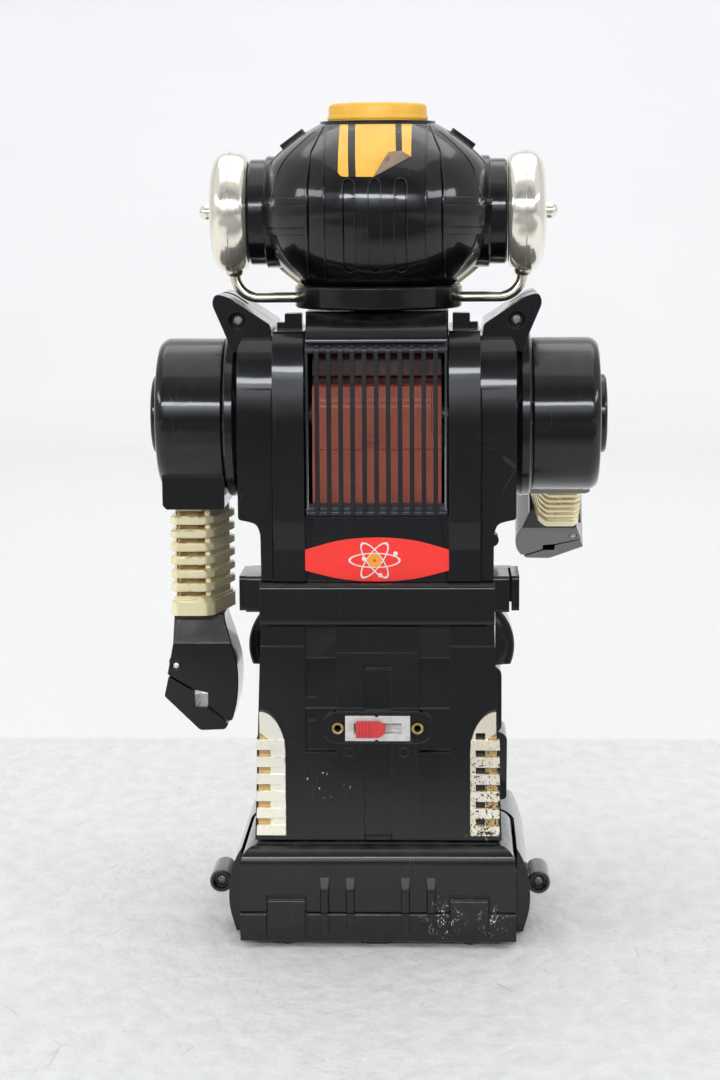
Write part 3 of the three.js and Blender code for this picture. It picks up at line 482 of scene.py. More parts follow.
def black_plastic(name, gloss, dusty, wear=()):
    """Glossy black ABS: smudges, fine scratches, dust on top faces, and pale flecks near some points."""
    made, tree, shader = new_material(name, (0.0050, 0.0053, 0.0066), roughness=BODY_ROUGHNESS)
    smudge = clouds(tree, 26, 0.42, 0.68, detail=5)
    lines = scratches(tree, 70, 0.0045, (1.0, 1.0, 0.16), (0.25, 0.5, 0.1))
    crossing = scratches(tree, 90, 0.0035, (0.2, 1.0, 1.0), (0.3, 0.2, 0.4))
    marks = either(tree, lines, crossing)
    grains = specks(tree, 900, 0.12)
    sprinkle = times(tree, grains, clouds(tree, 60, 0.60, 0.70))
    dust = times(tree, facing_up(tree), clouds(tree, 150, 0.30, 0.75, detail=6))
    dust = times(tree, dust, dusty)
    flecks = 0.0
    for centre, reach, scale, amount in wear:
        streaks = clouds(tree, scale, 0.70 - amount, 0.73 - amount, detail=7, stretch=(1.0, 1.0, 0.7))
        patch = clouds(tree, 300, 0.46, 0.60)
        spot = times(tree, near(tree, centre, reach, 0.3), patch)
        flecks = either(tree, flecks, times(tree, spot, streaks))
    smear = times(tree, smudge, 0.35)
    color = blend(tree, smear, (0.0024, 0.0025, 0.0031, 1), (0.0056, 0.0058, 0.0067, 1))
    color = blend(tree, dust, color, (0.055, 0.054, 0.052, 1))
    color = blend(tree, times(tree, marks, 0.10), color, (0.16, 0.16, 0.17, 1))
    color = blend(tree, times(tree, sprinkle, 0.25 * dusty), color, (0.42, 0.41, 0.39, 1))
    color = blend(tree, flecks, color, (0.62, 0.60, 0.56, 1))
    tree.links.new(color, shader.inputs["Base Color"])
    dull = plain_math(tree, "ADD", times(tree, marks, 0.15), times(tree, dust, 0.4))
    dull = plain_math(tree, "ADD", dull, times(tree, flecks, 0.4))
    deep_rough = remap(tree, smudge, 0, 1, BODY_ROUGHNESS, BODY_ROUGHNESS + 0.08)
    skin_rough = remap(tree, smudge, 0, 1, gloss, gloss + 0.06)
    tree.links.new(math_node(tree, "ADD", deep_rough, dull), shader.inputs["Roughness"])
    tree.links.new(math_node(tree, "ADD", skin_rough, dull), shader.inputs["Coat Roughness"])
    shader.inputs["Coat Weight"].default_value = 1.0
    shader.inputs["Coat IOR"].default_value = SKIN_IOR
    warp = noise(tree, 26.0, 0.0)
    waves = noise(tree, 80.0, 1.0)
    grain = noise(tree, 1800.0, 2.0)
    height = plain_math(
        tree, "ADD", plain_math(tree, "MULTIPLY", warp, 6.0), plain_math(tree, "MULTIPLY", waves, 0.6)
    )
    height = plain_math(tree, "ADD", height, plain_math(tree, "MULTIPLY", grain, 0.01))
    relief(tree, shader, height, 0.10, edge=0.4)
    shader.inputs["IOR"].default_value = BODY_IOR
    return made


def chrome_gold(name, tint, deep, gloss, wear=(), shine=1.0, recess=None):
    """Metallised plastic: a thin bright coat over brown lacquer, rubbed through at edges and spots; given a
    recess, painted shade browns the gold deep in it.
    """
    made, tree, shader = new_material(name, tint, shine, gloss)
    smudge = clouds(tree, 55, 0.40, 0.72, detail=4)
    pits = times(tree, specks(tree, 700, 0.13), clouds(tree, 120, 0.56, 0.66))
    rubbed = times(tree, edge_mask(tree, 0.35), clouds(tree, 330, 0.52, 0.62, detail=5))
    for centre, reach, scale, size in wear:
        spot = times(tree, near(tree, centre, reach, 0.6), clouds(tree, scale, size, size + 0.05, detail=8))
        rubbed = either(tree, rubbed, spot)
    bare = either(tree, rubbed, times(tree, pits, 0.8))
    color = blend(tree, times(tree, smudge, 0.5), (*tint, 1), (*deep, 1))
    # Painted shade: deep in a recess the gold turns brown, fading out towards the face.
    if recess:
        floor, face = [(STANCE_SHIFT + edge) * MM for edge in recess]
        color = blend(tree, remap(tree, position(tree)[1], face, floor), color, (0.56, 0.40, 0.17, 1))
    color = blend(tree, bare, color, (0.030, 0.016, 0.013, 1))
    tree.links.new(color, shader.inputs["Base Color"])
    tree.links.new(remap(tree, bare, 0, 1, shine, 0.1), shader.inputs["Metallic"])
    rough = remap(tree, smudge, 0, 1, gloss, gloss + 0.12)
    tree.links.new(math_node(tree, "ADD", rough, times(tree, bare, 0.4)), shader.inputs["Roughness"])
    waves = noise(tree, 110.0, 2.0)
    height = plain_math(tree, "SUBTRACT", waves, plain_math(tree, "MULTIPLY", bare, 0.4))
    relief(tree, shader, height, 0.07, edge=0.25)
    return made


def satin_plastic(name, color, shade, roughness, bump, dirt, translucent=0.0):
    """A coloured plastic or paint with faint clouding, dirt in patches and a slight grain."""
    made, tree, shader = new_material(name, color, roughness=roughness)
    mottle = clouds(tree, 90, 0.35, 0.70, detail=5)
    grime = times(tree, clouds(tree, 240, 0.55, 0.72, detail=6), dirt)
    mixed = blend(tree, mottle, (*color, 1), (*shade, 1))
    mixed = blend(tree, grime, mixed, (*[channel * 0.35 for channel in shade], 1))
    tree.links.new(mixed, shader.inputs["Base Color"])
    tree.links.new(remap(tree, mottle, 0, 1, roughness, roughness + 0.12), shader.inputs["Roughness"])
    grain = noise(tree, 700.0, 3.0)
    relief(tree, shader, grain, bump)
    if translucent:
        shader.inputs["Subsurface Weight"].default_value = translucent
        shader.inputs["Subsurface Scale"].default_value = 0.002
    return made


def bare_metal(name, color, shade, roughness, brushed=(1, 1, 1)):
    """Rolled or turned metal with brush lines and dull tarnish."""
    made, tree, shader = new_material(name, color, 1.0, roughness)
    tarnish = clouds(tree, 300, 0.42, 0.70, detail=6)
    lines = clouds(tree, 500, 0.3, 0.7, detail=2, stretch=brushed)
    tree.links.new(blend(tree, tarnish, (*color, 1), (*shade, 1)), shader.inputs["Base Color"])
    rough = remap(tree, tarnish, 0, 1, roughness, roughness + 0.2)
    tree.links.new(math_node(tree, "ADD", rough, times(tree, lines, 0.12)), shader.inputs["Roughness"])
    relief(tree, shader, lines, 0.02)
    return made


def within(tree, value, low, high):
    """1 where a value lies between two limits in metres."""
    above = math_node(tree, "GREATER_THAN", value, low)
    return times(tree, above, math_node(tree, "LESS_THAN", value, high))


def striped_sticker():
    """Orange print with two black stripes, a little faded and scratched."""
    made, tree, shader = new_material("sticker_print", (0.94, 0.44, 0.045), roughness=0.36)
    x, _, z = position(tree)[:3]
    slant = plain_math(tree, "MULTIPLY", plain_math(tree, "SUBTRACT", z, 0.300), 0.045)
    across = plain_math(tree, "SUBTRACT", x, slant)
    stripes = either(tree, within(tree, across, 0.0072, 0.0099), within(tree, across, -0.0101, -0.0078))
    print_wear = clouds(tree, 400, 0.62, 0.72, detail=7)
    fading = clouds(tree, 120, 0.35, 0.7)
    color = blend(tree, fading, (0.96, 0.52, 0.072, 1), (0.92, 0.46, 0.055, 1))
    color = blend(tree, stripes, color, (0.014, 0.014, 0.015, 1))
    color = blend(tree, times(tree, print_wear, 0.25), color, (0.62, 0.50, 0.36, 1))
    tree.links.new(color, shader.inputs["Base Color"])
    tree.links.new(remap(tree, fading, 0, 1, 0.30, 0.46), shader.inputs["Roughness"])
    relief(tree, shader, fading, 0.03)
    return made


def clear_lens():
    made, tree, shader = new_material("lens_plastic", (0.80, 0.22, 0.03), roughness=0.12)
    depth_tint = clouds(tree, 70, 0.3, 0.7)
    tree.links.new(
        blend(tree, depth_tint, (0.84, 0.26, 0.03, 1), (0.62, 0.12, 0.015, 1)),
        shader.inputs["Base Color"],
    )
    tree.links.new(remap(tree, depth_tint, 0, 1, 0.08, 0.18), shader.inputs["Roughness"])
    shader.inputs["Subsurface Weight"].default_value = 0.35
    shader.inputs["Subsurface Scale"].default_value = 0.004
    relief(tree, shader, depth_tint, 0.05)
    return made


def cell_jacket_print():
    """A battery's printed foil jacket: blue with a pale band round the nub end."""
    made, tree, shader = new_material("cell_print", (0.030, 0.080, 0.200), 0.35, 0.34)
    x = plain_math(tree, "ABSOLUTE", position(tree)[0])
    band = within(tree, x, 0.034, 0.044)
    foil = clouds(tree, 200, 0.35, 0.7)
    color = blend(tree, foil, (0.030, 0.085, 0.215, 1), (0.022, 0.060, 0.150, 1))
    tree.links.new(blend(tree, band, color, (0.55, 0.53, 0.47, 1)), shader.inputs["Base Color"])
    tree.links.new(remap(tree, foil, 0, 1, 0.28, 0.45), shader.inputs["Roughness"])
    relief(tree, shader, foil, 0.03)
    return made


FLECKED_TAB = [((-25, 48, 12), 10, 1500, 0.115), ((-44, 48, 11), 7, 1500, 0.115)]
SCUFFED_SHIN = ((20, 39, 62), 12, 700, 0.05)
SCUFFED_BASE = ((-40, 41, 44), 8, 600, 0.10)
DROPPED_PAINT = ((-22, 46, 271), 6, 700, 0.07)

# Depths in the gold trims' recesses for their painted shade: darkest at the first, clear from the second.
TRIM_RECESS_SHADE = (40.0, 41.2)

look = {
    "shell": black_plastic("black_abs", 0.07, 0.4, wear=[SCUFFED_SHIN, SCUFFED_BASE]),
    "head": black_plastic("black_abs_head", 0.06, 0.3, wear=[DROPPED_PAINT]),
    "limb": black_plastic("black_abs_limb", 0.07, 0.4),
    "box": black_plastic("black_abs_box", 0.09, 0.5, wear=FLECKED_TAB),
    "grille": black_plastic("black_abs_matt", 0.30, 0.1),
    # Painted sheen: the grille rails get a lighter blue-grey than the black plastic, for the light they
    # reflect.
    "rails": satin_plastic(
        "black_abs_painted_sheen", (0.030, 0.034, 0.042), (0.022, 0.025, 0.031), 0.12, 0.02, 0.1
    ),
    "pale_gold": chrome_gold(
        "pale_chrome_gold", (1.0, 0.96, 0.85), (0.92, 0.85, 0.68), 0.10, shine=0.80
    ),
    "gold": chrome_gold("yellow_chrome_gold", (0.88, 0.79, 0.50), (0.74, 0.60, 0.30), 0.14, shine=0.9),
    "limb_gold": chrome_gold(
        "limb_chrome_gold", (1.0, 0.91, 0.60), (0.88, 0.73, 0.38), 0.12, shine=0.40
    ),
    "tube_gold": chrome_gold(
        "tube_chrome_gold", (0.78, 0.73, 0.60), (0.66, 0.59, 0.44), 0.12, shine=0.95
    ),
    "lacquer": satin_plastic("gold_lacquer", (0.28, 0.18, 0.055), (0.20, 0.125, 0.038), 0.22, 0.03, 0.2),
    # The trims carry painted shade in their recesses.
    "trim_gold": chrome_gold(
        "trim_chrome_gold", (1.0, 0.97, 0.86), (0.95, 0.86, 0.62), 0.2,
        wear=[((47.5, 40, 62), 24, 420, 0.68)], shine=0.6, recess=TRIM_RECESS_SHADE,
    ),
    "worn_gold": chrome_gold(
        "worn_chrome_gold", (0.96, 0.91, 0.76), (0.84, 0.73, 0.48), 0.2,
        wear=[((-41, 41, 56), 26, 1300, 0.54), ((-41, 41, 43), 5, 900, 0.50)], shine=0.6,
        recess=TRIM_RECESS_SHADE,
    ),
    "orange": satin_plastic(
        "orange_abs", (0.99, 0.56, 0.055), (0.95, 0.50, 0.045), 0.30, 0.03, 0.08, 0.15
    ),
    "sticker": striped_sticker(),
    "sticker_back": satin_plastic(
        "sticker_back", (0.36, 0.27, 0.19), (0.22, 0.16, 0.11), 0.75, 0.12, 0.5
    ),
    "red_label": satin_plastic(
        "red_print", (0.96, 0.045, 0.034), (0.90, 0.036, 0.028), 0.26, 0.02, 0.05
    ),
    "white_print": satin_plastic(
        "white_print", (0.82, 0.80, 0.76), (0.74, 0.71, 0.66), 0.35, 0.01, 0.05
    ),
    "orange_print": satin_plastic(
        "orange_print", (0.90, 0.36, 0.04), (0.80, 0.28, 0.03), 0.35, 0.01, 0.15
    ),
    "red_knob": satin_plastic(
        "red_knob_paint", (0.74, 0.045, 0.048), (0.55, 0.030, 0.034), 0.38, 0.06, 0.35
    ),
    "brown": satin_plastic("brown_abs", (0.72, 0.185, 0.115), (0.62, 0.145, 0.090), 0.34, 0.04, 0.12),
    # Painted shade: a darker copy of the brown for the top of the voice unit under the hood.
    "brown_painted_shade": satin_plastic(
        "brown_abs_painted_shade", (0.085, 0.014, 0.009), (0.06, 0.010, 0.007), 0.45, 0.02, 0.0
    ),
    "steel": bare_metal("rolled_steel", (0.72, 0.70, 0.67), (0.56, 0.54, 0.50), 0.38, (0.1, 1, 1)),
    # Painted shade: a darker copy of the steel for the screw heads sunk in their pockets.
    "screw": bare_metal("screw_steel_painted_shade", (0.30, 0.29, 0.28), (0.16, 0.15, 0.14), 0.30),
    "brass": bare_metal("brass_eyelet", (0.50, 0.36, 0.15), (0.28, 0.19, 0.08), 0.36),
    "nylon": satin_plastic(
        "natural_nylon", (0.72, 0.70, 0.63), (0.66, 0.62, 0.54), 0.45, 0.03, 0.1, 0.2
    ),
    "rubber": satin_plastic(
        "black_rubber", (0.016, 0.016, 0.017), (0.026, 0.025, 0.024), 0.78, 0.12, 0.2
    ),
    "lens": clear_lens(),
    "cell": cell_jacket_print(),
}


# ---------------------------------------------------------------- head
HEAD_BOTTOM = 249.4
CROWN_TOP = 312.8
COLLAR_Z = 278.6
MASK_EDGE = -3.0
BAND_HALF = 19.4
EAR_Z = 278.8
SLOT_XS = (-9.6, 0, 9.6)
SLOT_LOW = 256.5
SLOT_HIGH = 290.8
ONION = [
    (249.4, 27.5), (252, 30.5), (256, 35.5), (261, 40.4), (267, 44.2), (274, 46.6), (281, 47.2),
    (288, 46.2), (294, 43.9), (299, 40.5), (304, 34.8), (308.5, 28.6), (311.8, 22.8),
]


def onion(extra):
    """The head's turned form, grown outwards by `extra`."""
    side = [(z, radius + extra) for z, radius in flowing(ONION, 4)]
    return turned("z", [(side[0][0], 0)] + side + [(side[-1][0], 0)], sides=160)


def onion_radius(z):
    side = flowing(ONION, 4)
    for (z0, r0), (z1, r1) in zip(side, side[1:]):
        if z <= z1:
            return r0 + (r1 - r0) * max(z - z0, 0) / (z1 - z0)
    return side[-1][1]


def rounded_slot(x, y0, y1, half, z0, z1):
    outline = arc((x, z1 - half), half, 0, 180, 12) + arc((x, z0 + half), half, 180, 360, 12)
    return prism("y", outline, y0, y1)


def meridian_rib(degrees, low, high, width, proud):
    """A thin raised line down the onion at an angle round from straight behind."""
    slab = block(-width / 2, width / 2, 0, 60, low, high)
    slab = moved(slab, Matrix.Rotation(math.radians(degrees), 4, "Z"))
    return common(onion(proud), slab)


def head_form():
    """The head's black outer form before it is hollowed: bulb, bands, ribs, collars and crown plate."""
    band = common(onion(0.8), block(-BAND_HALF, BAND_HALF, 5, 60, HEAD_BOTTOM, CROWN_TOP - 1.5))
    bead = common(onion(1.25), block(BAND_HALF - 0.7, BAND_HALF, 5, 60, HEAD_BOTTOM, CROWN_TOP - 1.5))
    second_bead = common(
        onion(0.65),
        prism(
            "y",
            [
                (25.9, 254), (25.9, 288), (24.9, 301), (20.6, 311), (20.0, 311), (24.2, 301),
                (25.2, 288), (25.2, 254),
            ],
            5, 60,
        ),
    )
    side_band = common(onion(0.75), block(25.2, 60, MASK_EDGE, 60, 270.3, 284))
    band_groove = cut(onion(2), onion(0.3))
    upper_groove = common(band_groove, block(25.9, 60, MASK_EDGE - 1, 60, 281.2, 281.8))
    lower_groove = common(band_groove, block(25.9, 60, MASK_EDGE - 1, 60, 272.6, 273.2))
    collar = turned(
        "x", [(36, 0), (36, 18.6), (41.2, 18.6), (41.6, 20.2), (48.6, 20.2), (49.4, 19.4), (49.4, 0)],
        (0, COLLAR_Z),
    )
    lip = turned("x", [(36, 0), (36, 21.4), (42.4, 21.4), (43.0, 20.8), (43.0, 0)], (0, COLLAR_Z))
    crown_plate = turned("z", [(309.8, 0), (309.8, 20.5), (311.2, 22.3), (312.8, 22.3), (312.8, 0)])
    slope = prism("z", rounded(-5.4, 5.4, -4.2, 4.2, 0.8), -2, 0.9)
    slope = moved(slope, Matrix.Translation((32.7, 0, 306.4)) @ Matrix.Rotation(math.radians(36), 4, "Y"))
    ribs = [meridian_rib(-57, 258, 309, 0.7, 0.35), meridian_rib(-75, 290, 309, 0.6, 0.30)]
    form = join(onion(0), band, *pair(bead), *pair(second_bead), *pair(side_band))
    form = cut(form, *pair(upper_groove), *pair(lower_groove))
    return join(form, *pair(collar), *pair(lip), crown_plate, *pair(slope), *pairs(ribs))


def head_shell():
    """The rear three quarters of the head, open in front where the mask sits, bored for the cap."""
    cup = turned("z", [(300.5, 0), (300.5, 21.5), (313, 21.5), (313, 0)])
    hollow = cut(common(onion(-2.5), block(-60, 60, -60, 60, 200, 309.6)), cup)
    slots = []
    for x in SLOT_XS:
        slots.append(cut(rounded_slot(x, 30, 60, 2.25, SLOT_LOW, SLOT_HIGH), onion(0.05)))
    return cut(
        head_form(), hollow, *slots, bar("z", 27.2, 240, HEAD_BOTTOM + 3, (0, 0), ROUND_SIDES),
        block(-60, 60, -60, MASK_EDGE, 200, 294), bar("z", 19.5, 302.5, 330, (0, 0), ROUND_SIDES),
        bar("z", 13, 290, 330, (0, 0), ROUND_SIDES),
    )


def slot_lips():
    """Raised wire-thin rims round the three slots."""
    lips = []
    for x in SLOT_XS:
        outside = rounded_slot(x, 30, 60, 2.6, SLOT_LOW - 0.4, SLOT_HIGH + 0.4)
        ring = cut(outside, rounded_slot(x, 29, 61, 2.2, SLOT_LOW, SLOT_HIGH))
        lips.append(cut(common(ring, onion(1.15)), onion(0.5)))
    return lips


def face_mask():
    """The gold face: brow, eye frame, cheeks and a barred mouth."""
    face_zone = block(-60, 60, -60, MASK_EDGE - 0.4, HEAD_BOTTOM, 293.6)
    skin = common(onion(1.4), face_zone)
    rim = common(onion(2.3), block(-60, 60, MASK_EDGE - 2.4, MASK_EDGE - 0.4, HEAD_BOTTOM, 268))
    brow = common(
        onion(3.2),
        prism("y", eased([(-33, 288.2), (33, 288.2), (30, 292.6), (-30, 292.6)], 1), -60, -15),
    )
    sill = common(
        onion(2.6),
        prism("y", eased([(-31, 269.2), (31, 269.2), (32, 271.6), (-32, 271.6)], 0.8), -60, -12),
    )
    nose = prism("x", [(-46, 262), (-51.5, 268.4), (-50, 271), (-46, 281)], -4, 4)
    mouth = prism("y", eased(both_sides([(14.5, 253.6), (16, 264.6)]), 1.5), -50.6, -34)
    frame_cut = prism("y", eased(both_sides([(12.6, 255.4), (13.8, 262.9)]), 0.8), -60, -47.6)
    bars = [block(x - 0.7, x + 0.7, -49.8, -40, 254.5, 263.8) for x in range(-11, 12, 2)]
    cheeks = common(
        onion(2.2), prism("y", eased([(19, 256), (30, 260), (35, 266.5), (19, 266.5)], 1.4), -60, -12)
    )
    eye = prism("y", eased(both_sides([(27.5, 272), (29.5, 276), (29.5, 287.5)]), 1.5), -60, -12)
    collar_space = bar("x", 21.9, 37, 60, (0, COLLAR_Z), ROUND_SIDES)
    mask = join(skin, rim, brow, sill, nose, cut(mouth, frame_cut), *pair(cheeks))
    mask = join(cut(mask, onion(-1.2), eye, *pair(collar_space)), *bars)
    return cut(mask, onion(-1.2))


def visor_lens():
    """The eye strip: a curved lens with upright ribs."""
    strip = cut(common(onion(-1.5), block(-31, 31, -60, -12, 270.5, 289)), onion(-3.2))
    ribs = [block(x - 0.4, x + 0.4, -60, -12, 273, 287) for x in range(-27, 28, 3)]
    raised = [cut(common(rib, onion(-0.9)), onion(-2.5)) for rib in ribs]
    return join(strip, *raised)


def top_cap():
    """The round orange button on the crown: a faint draft, a soft top edge and a shallow dome."""
    profile = [
        (305.5, 0), (305.5, 19.0), (318.2, 18.85), (319.1, 18.3), (319.5, 17.2), (319.7, 14),
        (319.95, 7), (320, 0),
    ]
    step = cut(
        turned("z", [(313.4, 0), (313.4, 19.25), (314.6, 19.25), (314.9, 18.9), (314.9, 0)]),
        bar("z", 17, 300, 330, (0, 0), ROUND_SIDES),
    )
    return cut(join(turned("z", profile), step), bar("z", 16.4, 300, 317.4, (0, 0), ROUND_SIDES))


def ear_disc():
    """A fat pale gold disc with a very round rim, a fine joint line and a nub on a short neck."""
    outer = [(49.8, 20.2), (50.8, 21.6), (53, 22.6), (56.4, 23.15)]
    rim = [(56.7, 23.15), (59.2, 22.9), (61.4, 21.7), (63.0, 19.4), (63.9, 16.2), (64.4, 11), (64.5, 5)]
    line = [(56.4, 22.95), (56.7, 22.95)]
    profile = [(49.8, 0)] + flowing(outer, 4) + line + flowing(rim, 4) + [(64.5, 0)]
    disc = turned("x", profile, (0, EAR_Z), 128)
    neck = turned("x", [(60, 0), (60, 3.4), (64.6, 2.6), (65.2, 1.9), (66, 1.7), (66, 0)], (0, EAR_Z), 48)
    return join(disc, neck, ball(3.25, (65.9, 0, EAR_Z), 40))


def ear_tube():
    """A bent gold rod with a flared socket under the ear disc."""
    bend = arc((46.6, 254.9), 9, 0, -90, 18)
    path = [(55.6, 0, 256.4)] + [(x, 0, z) for x, z in bend] + [(32.4, 0, 245.9)]
    socket = turned(
        "z", [(254.0, 0), (254.0, 2.2), (254.6, 3.0), (255.8, 3.5), (257.6, 3.6), (257.6, 0)], (55.8, 0),
        40,
    )
    return join(tube(path, 2.05, 40), socket)


def neck_ring():
    """The turned collar between the head and the shoulders."""
    profile = [
        (226, 0), (226, 13), (228, 13), (228, 9.6), (242, 9.6), (242, 31.6), (242.8, 32.4),
        (250.2, 32.4), (250.8, 31.8), (250.8, 0),
    ]
    solid = turned("z", profile)
    return cut(solid, bar("z", 31, 246.5, 252, (0, 0), ROUND_SIDES), bar("z", 6, 220, 260, (0, 0)))


STICKER_LOW = 291.6
FOLD_START = (0.4, 291.5)
FOLD_END = (-13.4, 298.8)


def head_sticker():
    """The printed part of the sticker that still lies on the shell."""
    outline = [
        (13.6, 311.2), (13.5, 293.2), (12.4, STICKER_LOW + 0.3), (11, STICKER_LOW), FOLD_START, FOLD_END,
        (-13.4, 311.2),
    ]
    label = common(onion(1.15), prism("y", outline, 5, 60))
    return cut(label, onion(0.95))


def on_head(x, z, lift):
    """A point that stands off the back of the raised band."""
    radius = onion_radius(z) + 1.05 + lift
    return Vector((x, math.sqrt(radius ** 2 - x ** 2), z))


def sticker_flap():
    """The peeled corner of the sticker, curled back so that its papery underside shows."""
    along = 14
    across = 10
    fold_start = Vector(FOLD_START)
    fold_end = Vector(FOLD_END)
    tip = Vector((-5.2, 300.6))
    rows = []
    for i in range(across + 1):
        t = i / across
        row = []
        for k in range(along + 1):
            s = k / along
            start = fold_start.lerp(tip, t)
            end = fold_end.lerp(tip + Vector((-4.6, 0.4)), t)
            flat = start.lerp(end, s)
            wave = 0.15 * math.sin(5 * s + 2 * t)
            lift = 0.25 + 1.5 * math.sin(math.pi * min(t * 0.62, 1)) + wave * t
            row.append(on_head(flat.x, flat.y, lift if i else 0.05))
        rows.append(row)
    return thin_sheet(rows, 0.16)


def thin_sheet(rows, thickness):
    """A closed thin sheet through rows of points, thickened along its own normals."""
    height = len(rows)
    width = len(rows[0])
    points = []
    for layer in (-0.5, 0.5):
        for i in range(height):
            for k in range(width):
                down = rows[min(i + 1, height - 1)][k] - rows[max(i - 1, 0)][k]
                right = rows[i][min(k + 1, width - 1)] - rows[i][max(k - 1, 0)]
                normal = down.cross(right).normalized()
                points.append(rows[i][k] + normal * thickness * layer)
    size = width * height
    faces = []
    for i in range(height - 1):
        for k in range(width - 1):
            a, b, c, d = i * width + k, i * width + k + 1, (i + 1) * width + k + 1, (i + 1) * width + k
            faces.append((a, b, c, d))
            faces.append((size + a, size + d, size + c, size + b))
    rim = list(range(width))
    rim += [i * width + width - 1 for i in range(1, height)]
    rim += [(height - 1) * width + k for k in range(width - 2, -1, -1)]
    rim += [i * width for i in range(height - 2, 0, -1)]
    for here, after in zip(rim, rim[1:] + rim[:1]):
        faces.append((here, after, size + after, size + here))
    return new_solid(points, faces)


def build_head():
    piece(
        "head_shell_look", head_shell(), "body", "black_shell", look["head"], ["head_rear_shell"],
        bevel=0.22,
    )
    for number, lip in enumerate(slot_lips()):
        piece(f"head_slot_rim_{number + 1}", lip, "body", "black_shell", look["head"], bevel=0)
    piece("face_mask_look", face_mask(), "body", "gold", look["gold"], ["face_mask"], bevel=0.3)
    piece("visor_lens_look", visor_lens(), "body", "orange_lens", look["lens"], ["visor_lens"], bevel=0.15)
    piece(
        "top_cap_look", top_cap(), "top_cap", "orange_cap", look["orange"], ["top_cap"], bevel=0.25,
        clamp=False,
    )
    piece_pair("ear_disc", ear_disc(), "body", "pale_gold", look["pale_gold"], bevel=0)
    piece_pair("ear_tube", ear_tube(), "body", "pale_gold", look["tube_gold"], bevel=0)
    piece(
        "neck_ring_look", neck_ring(), "body", "black_shell", look["shell"], ["neck_ring"], bevel=0.3,
        clamp=False,
    )
    piece(
        "head_sticker_look", head_sticker(), "body", "orange_sticker", look["sticker"], ["head_sticker"],
        bevel=0,
    )
    piece("head_sticker_flap", sticker_flap(), "body", "orange_sticker", look["sticker_back"], bevel=0)


# ---------------------------------------------------------------- torso
WALL_THICKNESS = 2.6
PART_LINE = 0.15
STRAP_INNER = 27.2
STRAP_OUTER = 39
GRILLE_HALF = 26.7
TORSO_LOW = 140.0
GRILLE_BARS = 11
VOICE_TOP_LOW = 214.4
WING_HOLE = (52.8, 238.1)


def flipped(outline, sign):
    """An outline of (y, z) points, mirrored to the front for a sign of -1."""
    return [(sign * corner[0],) + tuple(corner[1:]) for corner in outline]


def torso_side_profile():
    """The back face of the torso seen from the side: upright below, rolled over at the top."""
    return eased(
        [
            (PART_LINE, TORSO_LOW), (36, TORSO_LOW, 0.6), (36, 207, 14), (34.6, 217, 14), (31.6, 226, 9),
            (26, 232.2, 3), (PART_LINE, 233),
        ],
        1.0, steps=8,
    )


def strap_profile():
    """One of the two broad braces: steps in below the grille, swells behind it, rolls over on top."""
    return eased(
        [
            (PART_LINE, TORSO_LOW), (37.3, TORSO_LOW, 0.5), (37.6, 151.8, 1.0), (40.6, 164.2, 1.5),
            (40.6, 205, 18), (38.6, 221, 14), (35.6, 230.4, 3), (31, 234.4, 1.5), (PART_LINE, 234.4),
        ],
        1.0, steps=8,
    )


def torso_slab(sign):
    """The plain upright block of one half: waist, hip step and shoulders."""
    outline = both_sides(
        eased(
            [
                (44, TORSO_LOW, 0.5), (44.2, 158.2, 2.5), (45.4, 161.6, 1.5), (48, 162.7, 1.5),
                (52.6, 163.6, 1.2), (52.6, 229, 3), (49.5, 233, 1.5),
            ],
            1.0, closed=False,
        ),
    )
    depth = sorted((sign * PART_LINE, sign * 37))
    return common(prism("y", outline, *depth), prism("x", flipped(torso_side_profile(), sign), -60, 60))


def torso_hollow(sign):
    """The space inside one half."""
    plan = both_sides([(41.4, 144.8), (41.4, 160), (50, 167), (50, 228.5)])
    side = [
        (-1, 144.8), (33.4, 144.8), (33.4, 205), (31.8, 215), (28.4, 224.4), (24.5, 228.5), (-1, 228.5)
    ]
    return common(
        prism("y", plan, *sorted((-sign, sign * 40))), prism("x", flipped(side, sign), -60, 60)
    )


def torso_hood(sign):
    """The raised hood that carries the neck."""
    side = eased(
        [
            (PART_LINE, 229), (38.4, 229), (38.4, 231.6, 1.5), (36.2, 236, 2.5), (31.5, 239.6, 3),
            (25, 241.4, 3), (PART_LINE, 241.4),
        ],
        1.0,
    )
    return prism("x", flipped(side, sign), -27, 27)


def shoulder_wing(sign):
    """The pointed wing that stands up beside the hood on the robot's left."""
    outline = eased(
        [
            (39.5, 229.5, 0.5), (40.3, 236.6, 1.0), (56.4, 247.3, 3.5), (61.2, 248.3, 3.0),
            (62.4, 244.6, 3.0), (56.6, 231, 2.0), (55, 226, 1),
        ],
        1.0, steps=6,
    )
    return prism("y", outline, *sorted((sign * PART_LINE, sign * 26)))


def shoulder_flange(sign):
    """The stepped round flange that the arm's drum turns against."""
    flange = turned(
        "x",
        [(50, 0), (50, 30.6), (53, 30.6), (54.2, 31.2), (55, 32), (57.8, 32), (58.5, 31.3), (58.5, 0)],
        (0, SHOULDER_Z), 128,
    )
    return common(flange, block(0, 90, *sorted((sign * PART_LINE, sign * 60)), 100, 300))


def torso_half(sign):
    """The rear half of the torso shell for a sign of 1, the front half for -1."""
    strap = prism("x", flipped(strap_profile(), sign), STRAP_INNER, STRAP_OUTER)
    shell = join(
        torso_slab(sign), *pair(strap), torso_hood(sign), *pair(shoulder_wing(sign)),
        *pair(shoulder_flange(sign)),
    )
    return cut(
        shell, torso_hollow(sign), block(-24.5, 24.5, *sorted((-sign, sign * 30)), 228, 238.4),
        bar("z", 10.3, 220, 250, (0, 0), ROUND_SIDES), bar("x", 4.35, -70, 70, (0, SHOULDER_Z)),
        *pair(block(39, 64, -3.2, 3.2, 243.4, 262)),
    )


